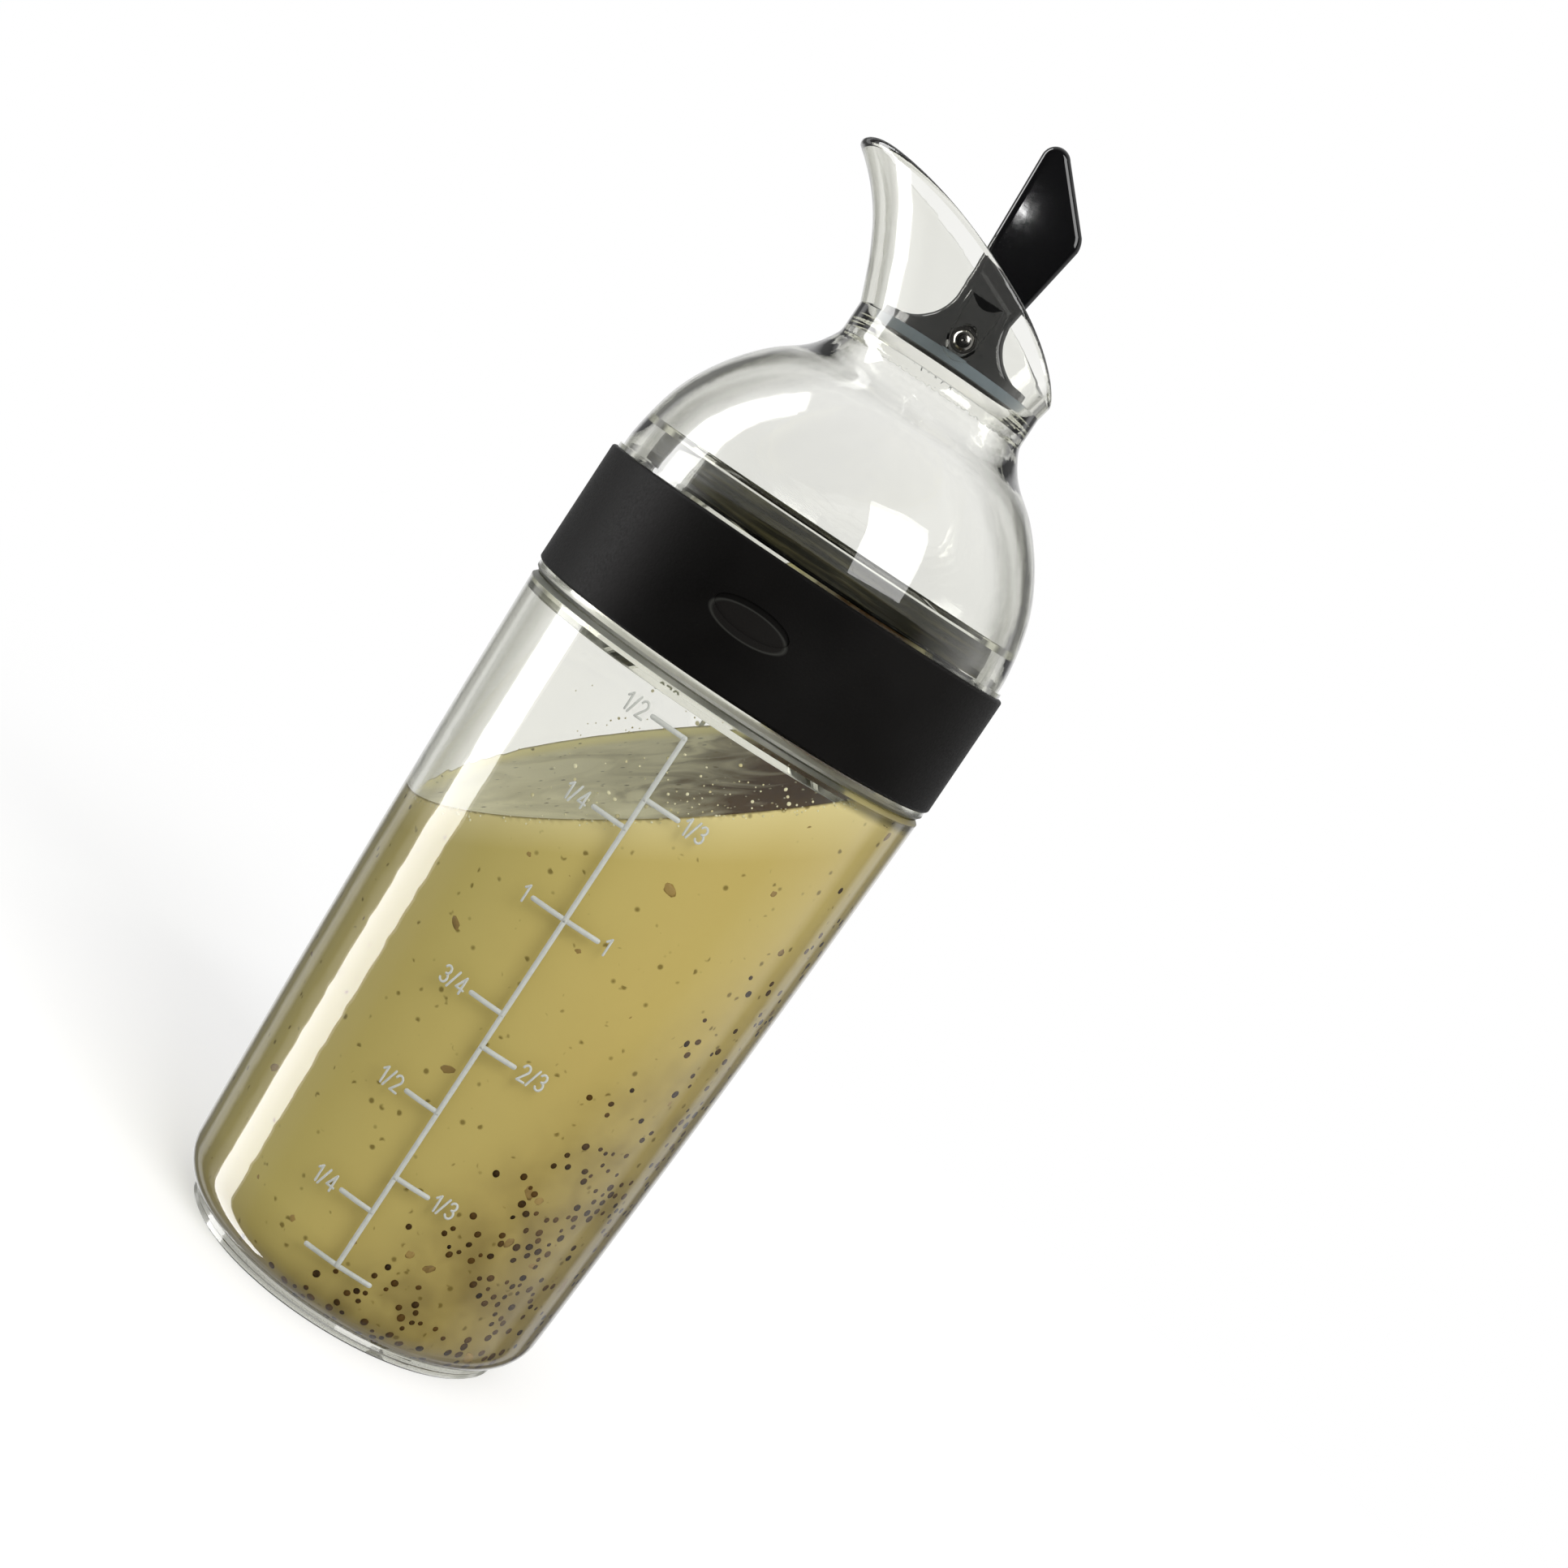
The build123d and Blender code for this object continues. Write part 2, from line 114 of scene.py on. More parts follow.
class ClearPlasticFinish(bpy.types.PropertyGroup):
    tint: colour_prop("Tint", "Colour that the plastic's surface lets through", WHITE)
    depth_tint: colour_prop("Depth tint", "Colour that its depth gives light", (0.44, 0.44, 0.15))
    # Painted shade: the darker colour given to the plastic where it is seen edge on
    edge_tint: colour_prop("Edge tint", "Colour of the plastic seen edge on", srgb(90, 92, 68))
    depth_density: number_prop("Depth density", "How fast its depth tints, per metre", 48.0)
    ior: number_prop("IOR", "Index of refraction", 1.55)
    roughness: number_prop("Roughness", "Least roughness", 0.01)
    haze: number_prop("Haze", "Roughness that smears add", 0.05)


class DressingSettings(bpy.types.PropertyGroup):
    level: length_prop("Level", "Height of the dressing on the bottle's axis", 0.09917)
    slope_x: number_prop("Slope along X", "Rise a metre", 0.732)
    slope_y: number_prop("Slope along Y", "Rise a metre", 0.148)
    wall_overlap: length_prop(
        "Wall overlap", "How far it wets into the inner wall, so no air shows", 0.00006
    )
    creep: length_prop("Creep", "How far it climbs the wall at its edge", 0.0012)
    body: colour_prop("Body", "Colour of the dressing", srgb(199, 177, 109))
    # Painted shading on the dressing's left side, also the colour of its random thicker clouds
    shaded: colour_prop("Shaded", "Duller colour of thick places", srgb(202, 186, 117))
    cream: colour_prop("Cream", "Paler colour near the top edge", srgb(236, 222, 168))
    # Browner haze round the sunken seeds, also the colour of the painted shade low on the right
    # and of the darkening near the cup's floor
    settled: colour_prop("Settled", "Browner haze round settled seeds", srgb(118, 102, 64))
    speck: colour_prop("Speck", "Colour of the finest specks", srgb(104, 86, 40))
    # Painted light and reflection: the open surface's lit side, paler than the dressing's own
    # colour
    open_top: colour_prop("Open top", "Colour of its open surface", srgb(250, 242, 206))
    # Painted shadow of the lid on the open surface, also the thin painted shade line at the
    # dressing's edge
    open_deep: colour_prop("Open deep", "Its open surface below the lid", srgb(88, 56, 8))
    # Partly film on the far wall, partly a painted highlight along the far rim
    far_rim: colour_prop("Far rim", "Colour of its rim on the far wall", srgb(255, 244, 190))


class SolidsSettings(bpy.types.PropertyGroup):
    seed_radius: length_prop("Seed radius", "Radius of the largest poppy seed", 0.00075)
    seed_spacing: length_prop("Seed spacing", "Least distance between seeds", 0.0013)
    seed_density: number_prop("Seed density", "Most seeds on a square metre", 560000.0)
    fleck_radius: length_prop("Fleck radius", "Radius of the largest herb fleck", 0.00095)
    fleck_density: number_prop("Fleck density", "Most flecks on a square metre", 240000.0)
    drop_radius: length_prop("Drop radius", "Radius of the largest drop on the wall", 0.00045)
    drop_density: number_prop("Drop density", "Most drops on a square metre", 6e6)
    random_seed: IntProperty(name="Random seed", description="Seed of the scatter", default=7)


class ScaleSettings(bpy.types.PropertyGroup):
    ink: colour_prop("Ink", "Colour of the printed marks", srgb(196, 198, 190))
    front_azimuth: angle_prop("Front azimuth", "Angle of the front line from -Y", -2.6)
    rear_azimuth: angle_prop("Rear azimuth", "Angle of the rear line from -Y", 181.5)
    line_width: length_prop("Line width", "Width of lines and ticks", 0.00082)
    stroke_width: length_prop("Stroke width", "Width of a numeral's stroke", 0.00038)
    ink_height: length_prop("Ink height", "How far the ink stands on the wall", 0.00001)
    tick_length: length_prop("Tick length", "Length of a tick from the line", 0.0058)
    numeral_height: length_prop("Numeral height", "Height of a numeral", 0.00285)
    label_gap: length_prop("Label gap", "Space between a tick and its numerals", 0.0012)


class SoftBlackFinish(bpy.types.PropertyGroup):
    band: colour_prop("Band", "Colour of the grip band", srgb(13, 12, 11))
    # Painted sheen along the blank oval's thin edge
    badge_rim: colour_prop("Badge rim", "Colour of the blank oval's edge", srgb(52, 52, 49))
    gasket: colour_prop("Gasket", "Colour of the lid's gasket", srgb(24, 22, 11))
    ring: colour_prop("Ring", "Colour of the stopper's silicone ring", srgb(94, 106, 118))
    lever: colour_prop("Lever", "Colour of the lever", srgb(11, 11, 12))
    pin: colour_prop("Pin", "Colour of the pin's steel", srgb(150, 148, 142))


class StudioSettings(bpy.types.PropertyGroup):
    camera_place: vector_prop(
        "Camera place", "Where the camera stands", "TRANSLATION", (0.0, -0.41107, 0.14702)
    )
    camera_turn: vector_prop(
        "Camera turn", "The camera's yaw, pitch and roll", "EULER", (0.0379, -0.0953, 0.5898)
    )
    lens: number_prop("Lens", "Focal length in millimetres", 58.51)
    floor_radius: length_prop("Floor radius", "Radius of the pale floor", 3.0)
    room_light: number_prop("Room light", "Strength of the room's even light", 0.55)


SETTINGS = {
    "shaker_plastic": ClearPlasticFinish,
    "shaker_dressing": DressingSettings,
    "shaker_solids": SolidsSettings,
    "shaker_scale": ScaleSettings,
    "shaker_black": SoftBlackFinish,
    "shaker_studio": StudioSettings,
}


# Nodes


def plug(socket, value):
    """Links a socket or a node's first output to an input, or sets the input to a plain value."""
    if isinstance(value, bpy.types.Node):
        value = value.outputs[0]
    if isinstance(value, bpy.types.NodeSocket):
        socket.id_data.links.new(value, socket)
    elif socket.type == "RGBA":
        socket.default_value = (*value, 1.0)
    else:
        socket.default_value = value


def add_node(tree, kind, inputs=None, **settings):
    """Adds a node, sets it and fills its inputs."""
    node = tree.nodes.new(kind)
    for name, value in settings.items():
        setattr(node, name, value)
    for name, value in (inputs or {}).items():
        plug(node.inputs[name], value)
    return node


def join(kind, inputs, **settings):
    """Adds a node to the tree that its inputs come from."""
    linked = (bpy.types.Node, bpy.types.NodeSocket)
    tree = next(value.id_data for value in inputs.values() if isinstance(value, linked))
    return add_node(tree, kind, inputs, **settings)


def cleared_tree(owner, end):
    """The tree of a new material or world with only its end node, and that node's inputs."""
    owner.use_nodes = True
    tree = owner.node_tree
    tree.nodes.clear()
    return tree, tree.nodes.new(end).inputs


def new_material(name):
    material = bpy.data.materials.new(name)
    return material, *cleared_tree(material, "ShaderNodeOutputMaterial")


def object_coords(tree):
    return tree.nodes.new("ShaderNodeTexCoord").outputs["Object"]


def parts_of(vector):
    return join("ShaderNodeSeparateXYZ", {"Vector": vector}).outputs


def combine(*parts):
    return join("ShaderNodeCombineXYZ", dict(enumerate(parts)))


def mapped(coords, **inputs):
    return join("ShaderNodeMapping", {"Vector": coords, **inputs})


def maths(operation, *values, **settings):
    return join("ShaderNodeMath", dict(enumerate(values)), operation=operation, **settings)


def times(first, second):
    return maths("MULTIPLY", first, second)


def vector_maths(operation, inputs):
    return join("ShaderNodeVectorMath", inputs, operation=operation)


def length_of(vector):
    return vector_maths("LENGTH", {0: vector}).outputs["Value"]


def attribute(tree, name):
    return add_node(tree, "ShaderNodeAttribute", attribute_name=name).outputs["Fac"]


def noise(coords, scale, detail=3.0, distortion=0.0):
    inputs = {"Vector": coords, "Scale": scale, "Detail": detail, "Distortion": distortion}
    return join("ShaderNodeTexNoise", inputs)


def spread(value, low, high, to_low=0.0, to_high=1.0, clamp=True):
    """Maps a value from one range to another, and clamps it unless it may go on beyond."""
    inputs = {"Value": value, 1: low, 2: high, 3: to_low, 4: to_high}
    return join("ShaderNodeMapRange", inputs, clamp=clamp)


def blend(factor, first, second):
    """Mixes two colours by a factor."""
    inputs = {0: factor, 6: first, 7: second}
    return join("ShaderNodeMix", inputs, data_type="RGBA").outputs[2]


def bump(height, strength, distance):
    inputs = {"Height": height, "Strength": strength, "Distance": distance}
    return join("ShaderNodeBump", inputs)


def end_in_pattern(ends, colour, pattern, roughness, strength, depth, **others):
    """Ends a material in a shader whose roughness and bump follow a pattern."""
    look = {
        "Base Color": colour,
        "Roughness": spread(pattern, 0.3, 0.7, *roughness),
        "Normal": bump(pattern, strength, depth),
        **others,
    }
    plug(ends["Surface"], join("ShaderNodeBsdfPrincipled", look))


def shader_mix(factor, first, second):
    return join("ShaderNodeMixShader", {0: factor, 1: first, 2: second})


# Pieces and meshes


def dress_node(name, material):
    """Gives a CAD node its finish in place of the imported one."""
    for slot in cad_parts[name].material_slots:
        slot.material = material


def new_piece(name, mesh, material):
    piece = bpy.data.objects.new(name, mesh)
    bpy.context.scene.collection.objects.link(piece)
    mesh.materials.clear()
    mesh.materials.append(material)
    return piece


def new_mesh(name, points, edges, faces):
    mesh = bpy.data.meshes.new(name)
    mesh.from_pydata(points, edges, faces)
    return mesh


def ring_faces(rows, around, turned_over=False):
    """The faces between rings of points, from each ring to the next."""
    faces = []
    for row in range(rows):
        low, high = row * around, (row + 1) * around
        for col in range(around):
            after = (col + 1) % around
            face = (low + col, low + after, high + after, high + col)
            faces.append((face[0], face[3], face[2], face[1]) if turned_over else face)
    return faces


def closed_mesh(name, rings):
    """A closed skin through rings of points, with a single point at each end."""
    around = len(rings[0])
    top = (len(rings) - 1) * around
    points = [point for ring in rings for point in ring]
    points += [tuple(np.mean(ring, axis=0)) for ring in (rings[0], rings[-1])]
    first, last = len(points) - 2, len(points) - 1
    faces = ring_faces(len(rings) - 1, around)
    for col in range(around):
        after = (col + 1) % around
        faces += [(first, after, col), (last, top + col, top + after)]
    mesh = new_mesh(name, points, [], faces)
    mesh.shade_smooth()
    return mesh


def turned_rings(profile, around):
    """Rings of points in metres round the axis, one for each radius and height of a profile."""
    turns = [2 * math.pi * index / around for index in range(around)]
    return [
        [(radius * math.cos(a) * MM, radius * math.sin(a) * MM, height * MM) for a in turns]
        for radius, height in profile
    ]


def through(points):
    """The quadratic through three radius and height points, as radius in millimetres by height."""
    radii, heights = zip(*points)
    return np.polyfit(heights, radii, 2)


def inner_radius(height):
    """Radius of the cup's inner wall in millimetres at a height in millimetres."""
    side_radius, side_top = SIDE_INNER[2]
    if height <= side_top:
        return float(np.polyval(through(SIDE_INNER), height))
    share = min((height - side_top) / (NECK_INNER[1] - side_top), 1.0)
    return side_radius + share * (NECK_INNER[0] - side_radius)


def rise(settings, x, y):
    """How far the tilted level stands above its middle at a place, in the place's own unit."""
    return settings.slope_x * x + settings.slope_y * y


def wall_strip(name, settings, low, high):
    """A strip of the cup's inner wall between two heights in millimetres over the tilted level."""
    level = settings.level / MM
    points = []
    for row in range(SPLASH_ROWS + 1):
        over = low + (high - low) * row / SPLASH_ROWS
        for index in range(AROUND):
            angle = 2 * math.pi * index / AROUND
            height = level + over
            # The wall tapers, so the height and the radius settle together
            for _ in range(SETTLE_STEPS):
                radius = inner_radius(height)
                x, y = radius * math.cos(angle), radius * math.sin(angle)
                height = (height + level + rise(settings, x, y) + over) / 2
            points.append((x * MM, y * MM, height * MM))
    return new_mesh(name, points, [], ring_faces(SPLASH_ROWS, AROUND, turned_over=True))


# Geometry Nodes

GRAIN_NUMBERS = ("Spacing", "Density", "Radius", "Sink")
GRAIN_NUMBERS += ("Least size", "Rarity of large", "Clumping", "Flatness")
STROKE_NUMBERS = ("Azimuth", "Side square", "Side slope", "Side base", "Ink height")
# A stroke's section for each metre of its width: how thick its ink is, and how wide
STROKE_SECTION = {"Width": 0.12, "Height": 1.0}


def new_geometry_tree(name, numbers, **others):
    """A geometry tree with a mesh in and out and named inputs, and its ends' sockets."""
    tree = bpy.data.node_groups.new(name, "GeometryNodeTree")
    inputs = {"Geometry": "Geometry", **dict.fromkeys(numbers, "Float"), **others}
    for label, kind in inputs.items():
        tree.interface.new_socket(label, in_out="INPUT", socket_type="NodeSocket" + kind)
    tree.interface.new_socket("Geometry", in_out="OUTPUT", socket_type="NodeSocketGeometry")
    entry = tree.nodes.new("NodeGroupInput")
    return tree, entry.outputs, tree.nodes.new("NodeGroupOutput").inputs


def bake_tree(name, mesh, tree, values):
    """Runs a geometry tree on a mesh and returns what it makes as a plain mesh."""
    source = bpy.data.objects.new(name, mesh)
    bpy.context.scene.collection.objects.link(source)
    modifier = source.modifiers.new(name, "NODES")
    modifier.node_group = tree
    for item in tree.interface.items_tree:
        if item.in_out == "INPUT" and item.name in values:
            modifier[item.identifier] = values[item.name]
    context = bpy.context.evaluated_depsgraph_get()
    made = bpy.data.meshes.new_from_object(source.evaluated_get(context))
    made.name = name
    bpy.data.objects.remove(source)
    return made


def random_value(seed, shift, low=0.0, high=1.0):
    """A random number for each point, from the tree's own seed and a shift that sets it apart."""
    seed = maths("ADD", seed, float(shift))
    inputs = {2: low, 3: high, "Seed": seed}
    return join("FunctionNodeRandomValue", inputs, data_type="FLOAT").outputs[1]


def named(tree, name, kind="FLOAT"):
    return add_node(tree, "GeometryNodeInputNamedAttribute", {"Name": name}, data_type=kind)


def store(geometry, name, value, kind, domain):
    inputs = {"Geometry": geometry, "Name": name, "Value": value}
    return join("GeometryNodeStoreNamedAttribute", inputs, data_type=kind, domain=domain)


def finish_tree(geometry, material, ends, smooth):
    """Ends a tree in real faces and a material."""
    geometry = join("GeometryNodeRealizeInstances", {"Geometry": geometry})
    if smooth:
        geometry = join("GeometryNodeSetShadeSmooth", {0: geometry})
    plug(ends[0], join("GeometryNodeSetMaterial", {0: geometry, 2: material}))


def lumpy_ball(tree, roughness):
    """A ball one in radius, pushed out of round by as much as its roughness."""
    ball = add_node(tree, "GeometryNodeMeshIcoSphere", {"Radius": 1.0, "Subdivisions": 2})
    lumps = add_node(tree, "ShaderNodeTexNoise", {"Scale": 1.3, "Detail": 2.0}).outputs["Color"]
    lumps = vector_maths("SUBTRACT", {0: lumps, 1: (0.5, 0.5, 0.5)})
    lumps = vector_maths("SCALE", {0: lumps, "Scale": roughness})
    return join("GeometryNodeSetPosition", {0: ball, "Offset": lumps})


def scatter_tree(name, share, roughness):
    """Grains strewn over a skin where its share is high, each turned, sized and toned."""
    tree, given, ends = new_geometry_tree(name, GRAIN_NUMBERS, Seed="Int", Material="Material")
    seed = given["Seed"]
    clouds = add_node(tree, "ShaderNodeTexNoise", {"Scale": CLUMP_SCALE, "Detail": 1.0})
    clumps = spread(clouds, 0.38, 0.58)
    even = maths("SUBTRACT", 1.0, given["Clumping"])
    clumps = maths("MULTIPLY_ADD", clumps, given["Clumping"], even)
    inputs = {
        "Mesh": given["Geometry"],
        "Distance Min": given["Spacing"],
        "Density Max": given["Density"],
        "Density Factor": times(named(tree, share), clumps),
        "Seed": seed,
    }
    kind = "GeometryNodeDistributePointsOnFaces"
    strewn = join(kind, inputs, distribute_method="POISSON").outputs
    sunk = vector_maths("SCALE", {0: strewn["Normal"], "Scale": given["Sink"]})
    spin = random_value(seed, 1, 0.0, 2 * math.pi)
    spin = {"Axis": (0.0, 0.0, 1.0), "Angle": spin}
    turn = join("FunctionNodeAxisAngleToRotation", spin)
    turns = {0: strewn["Rotation"], 1: turn}
    size = maths("POWER", random_value(seed, 2), given["Rarity of large"])
    size = spread(size, 0.0, 1.0, given["Least size"], 1.0)
    size = times(size, given["Radius"])
    long_side = random_value(seed, 3, 0.85, 1.0 + roughness)
    shape = combine(long_side, 1.0, given["Flatness"])
    inputs = {
        "Points": join("GeometryNodeSetPosition", {0: strewn["Points"], "Offset": sunk}),
        "Instance": lumpy_ball(tree, roughness),
        "Rotation": join("FunctionNodeRotateRotation", turns, rotation_space="LOCAL"),
        "Scale": vector_maths("SCALE", {0: shape, "Scale": size}),
    }
    grains = join("GeometryNodeInstanceOnPoints", inputs)
    toned = store(grains, "tone", random_value(seed, 4), "FLOAT", "INSTANCE")
    finish_tree(toned, given["Material"], ends, smooth=True)
    return tree


def ribbon_tree():
    """Printed strokes: flat strokes, across and up, wrapped on the cup's tapered side."""
    tree, given, ends = new_geometry_tree("printed_strokes", STROKE_NUMBERS, Material="Material")
    flat = parts_of(tree.nodes.new("GeometryNodeInputPosition"))
    height = flat["Z"]
    square = times(height, height)
    square = times(given["Side square"], square)
    radius = maths("ADD", square, times(given["Side slope"], height))
    for further in ("Side base", "Ink height"):
        radius = maths("ADD", radius, given[further])
    angle = maths("DIVIDE", flat["X"], radius)
    angle = maths("ADD", given["Azimuth"], angle)
    across = maths("SINE", angle)
    along = times(maths("COSINE", angle), -1.0)
    outward = combine(across, along, 0.0)
    x, y = (times(way, radius) for way in (across, along))
    lines = join("GeometryNodeMeshToCurve", {0: given["Geometry"]})
    lines = store(lines, "outward", outward, "FLOAT_VECTOR", "POINT")
    wrapped = {0: lines, "Position": combine(x, y, height)}
    wrapped = join("GeometryNodeSetPosition", wrapped)
    facing = {0: wrapped, "Normal": named(tree, "outward", "FLOAT_VECTOR")}
    section = add_node(tree, "GeometryNodeCurvePrimitiveQuadrilateral", STROKE_SECTION)
    inputs = {
        "Curve": join("GeometryNodeSetCurveNormal", facing, mode="FREE"),
        "Profile Curve": section,
        "Scale": named(tree, "fatness"),
        "Fill Caps": True,
    }
    swept = join("GeometryNodeCurveToMesh", inputs)
    finish_tree(swept, given["Material"], ends, smooth=False)
    return tree


# Clear plastic


def clear_plastic(name, finish, grain_shift):
    """Polished clear plastic, faintly smeared and tinted, that lets the lamps through, and
    darkened with painted shade where it is seen edge on.
    """
    material, tree, ends = new_material(name)
    place = object_coords(tree)
    coords = mapped(place, Location=(grain_shift, 0.0, 0.0))
    smears = noise(coords, 38.0, 5.0, 0.6)
    roughness = spread(smears, 0.52, 0.74, finish.roughness, finish.roughness + finish.haze)
    from_seam = maths("SUBTRACT", parts_of(place)["Z"], LIP_SEAM)
    scuffed = spread(maths("ABSOLUTE", from_seam), *SCUFF_EDGES, 0.4, 0.0)
    # Painted shade: the colour turns to the edge shade where the surface is seen edge on
    facing = add_node(tree, "ShaderNodeLayerWeight", {"Blend": 0.5}).outputs["Facing"]
    look = {
        "Base Color": blend(spread(facing, 0.4, 0.95), finish.tint, finish.edge_tint),
        "Roughness": maths("MAXIMUM", roughness, scuffed),
        "IOR": finish.ior,
        "Transmission Weight": 1.0,
        "Normal": bump(noise(coords, 22.0, 1.0), 0.06, 0.002),
    }
    shader = join("ShaderNodeBsdfPrincipled", look)
    path = tree.nodes.new("ShaderNodeLightPath").outputs
    passes = maths("MAXIMUM", path["Is Shadow Ray"], path["Is Diffuse Ray"])
    open_to_lamps = add_node(tree, "ShaderNodeBsdfTransparent", {"Color": (0.96, 0.97, 0.95)})
    plug(ends["Surface"], shader_mix(passes, shader, open_to_lamps))
    depth = {"Color": finish.depth_tint, "Density": finish.depth_density}
    plug(ends["Volume"], add_node(tree, "ShaderNodeVolumeAbsorption", depth))
    return material


class SHAKER_OT_clear_mouldings(bpy.types.Operator):
    """Gives the measuring cup and the lid's dome their clear plastic"""

    bl_idname = "shaker.clear_mouldings"
    bl_label = "Clear cup and dome"

    def execute(self, context):
        finish = context.scene.shaker_plastic
        dress_node("cup", clear_plastic("cup_clear_plastic", finish, 0.0))
        dress_node("spout_dome", clear_plastic("dome_clear_plastic", finish, 0.37))
        return {"FINISHED"}


# Dressing

# Where the painted shade on the right side grows along X and fades up Z, and where the darkening
# near the cup's floor fades above it
PAINTED_SHADE_ACROSS = (-0.008, 0.033)
PAINTED_SHADE_UP = (0.02, 0.07)
DARKENING_ABOVE_FLOOR = (0.004, 0.014)
# Shares of the floor's flat radius at which its rings of points lie
FLOOR_SHARES = (0.12, 0.35, 0.6, 0.85)
# Insets from the wall in millimetres, and then shares of the radius, of the open surface's rings
SURFACE_INSETS = (0.25, 0.6, 1.1, 1.8, 3.0, 5.5)
SURFACE_SHARES = (0.66, 0.48, 0.3, 0.12)
# By height in millimetres: how far right the seeds begin, as a share of the radius, how rich the
# seeds are beyond that, how rich they are on the floor, and how rich the flecks are
SEED_LINE = ((3, 9, 20, 38, 60, 90, 120), (-0.5, -0.22, 0.0, 0.2, 0.42, 0.72, 0.95))
SEED_RICHNESS = ((3, 40, 90, 110), (1.0, 0.8, 0.5, 0.0))
FLOOR_RICHNESS = ((3, 4.5, 6.5), (1.0, 0.9, 0.0))
FLECK_RICHNESS = ((3, 60, 110), (1, 0.6, 0.25))
# The strip of wall that drops splash on, in millimetres over the tilted level
SPLASH_REACH = (1.6, 14.0)


def side_colour(tree, settings, coords, place):
    """The dressing behind the wall: painted shading on its sides, browner haze round the seeds,
    darker near the cup's floor, paler near its edge, with a painted shade line there.
    """
    thick = spread(noise(coords, 24.0, 3.0, 0.5), 0.36, 0.66, 0.0, 0.35)
    # Painted shading: towards -X the left side takes that second colour
    side = spread(place["X"], -0.03, 0.014, 1.0, 0.0)
    shade = maths("ADD", thick, side, use_clamp=True)
    colour = blend(shade, settings.body, settings.shaded)
    haze = spread(noise(coords, CLUMP_SCALE, 2.0, 0.3), 0.36, 0.68, 0.35, 0.8)
    haze = times(attribute(tree, "seed_share"), haze)
    colour = blend(haze, colour, settings.settled)
    # Painted shade low on the right side, and a darkening near the cup's floor, both towards the
    # haze colour
    low = spread(place["Z"], *PAINTED_SHADE_UP, 1.0, 0.0)
    painted_right_shade = times(spread(place["X"], *PAINTED_SHADE_ACROSS, 0.0, 0.5), low)
    shade_and_low_darkening = maths("MAXIMUM", painted_right_shade, spread(place["Z"], *DARKENING_ABOVE_FLOOR, 0.45, 0.0))
    colour = blend(shade_and_low_darkening, colour, settings.settled)
    uphill = {0: coords, 1: (settings.slope_x, settings.slope_y, -1.0)}
    below = vector_maths("DOT_PRODUCT", uphill).outputs["Value"]
    creep = settings.creep
    edge = -settings.level - creep
    reach = spread(place["X"], -0.01, 0.03, edge + 5 * creep, edge + 10 * creep)
    rim = spread(below, edge + creep / 3, reach, 0.65, 0.0)
    colour = blend(rim, colour, settings.cream)
    # Painted shade: a thin dark line along the dressing's edge on the wall
    line = spread(below, edge, edge + creep / 3, 0.6, 0.0)
    return blend(line, colour, settings.open_deep)


def open_colour(tree, settings, place, streaks):
    """The open surface: streaked, with painted light on its left, a painted shadow of the lid
    towards +X, and a pale far rim, partly film and partly painted highlight.
    """
    wander = maths("MULTIPLY_ADD", streaks, 0.03, place["X"])
    # Painted shadow of the lid: the open surface darkens towards +X
    painted_lid_shadow = spread(wander, 0.012, 0.026)
    colour = blend(painted_lid_shadow, settings.open_top, settings.open_deep)
    colour = blend(spread(streaks, 0.4, 0.7, 0.0, 0.35), colour, settings.settled)
    # Partly film, partly painted highlight: the far rim turns pale
    return blend(attribute(tree, "far_rim"), colour, settings.far_rim)


def dressing_material(settings):
    """A creamy dressing, behind the wall and on its open surface, specked with herbs."""
    material, tree, ends = new_material("dressing_cream")
    coords = object_coords(tree)
    place = parts_of(coords)
    streaks = noise(coords, 60.0, 4.0, 1.5)
    behind_wall = side_colour(tree, settings, coords, place)
    on_top = open_colour(tree, settings, place, streaks)
    colour = blend(attribute(tree, "open_top"), behind_wall, on_top)
    specks = join("ShaderNodeTexVoronoi", {"Vector": coords, "Scale": 420.0})
    speck = spread(specks.outputs["Distance"], 0.12, 0.24, 1.0, 0.0)
    chosen = spread(noise(coords, 700.0, 0.0), 0.53, 0.6, 0.0, 0.75)
    colour = blend(times(speck, chosen), colour, settings.speck)
    end_in_pattern(ends, colour, streaks, (0.4, 0.6), 0.12, 0.00005, **{SHINE: 0.02})
    return material


def cavity_profile(settings):
    """Radius and height in millimetres up the cup's inside, from its floor to the neck's rim."""
    overlap = settings.wall_overlap / MM
    corner = INNER_CORNER + overlap
    centre_radius = SIDE_INNER[0][0] - INNER_CORNER
    centre_height = FLOOR_HEIGHT + INNER_CORNER
    floor_height = FLOOR_HEIGHT - overlap
    profile = [(centre_radius * share, floor_height) for share in FLOOR_SHARES]
    for turn in np.linspace(0, math.pi / 2, 9):
        across = centre_radius + corner * math.sin(turn)
        profile.append((across, centre_height - corner * math.cos(turn)))
    side_radius, side_top = SIDE_INNER[2]
    for height in np.linspace(centre_height, side_top, 150)[1:]:
        profile.append((inner_radius(height) + overlap, height))
    profile.append((side_radius + overlap, side_top + overlap))
    for height in np.linspace(NECK_INNER[1] + overlap, NECK_RIM_HEIGHT, 16):
        profile.append((NECK_INNER[0] + overlap, height))
    return profile


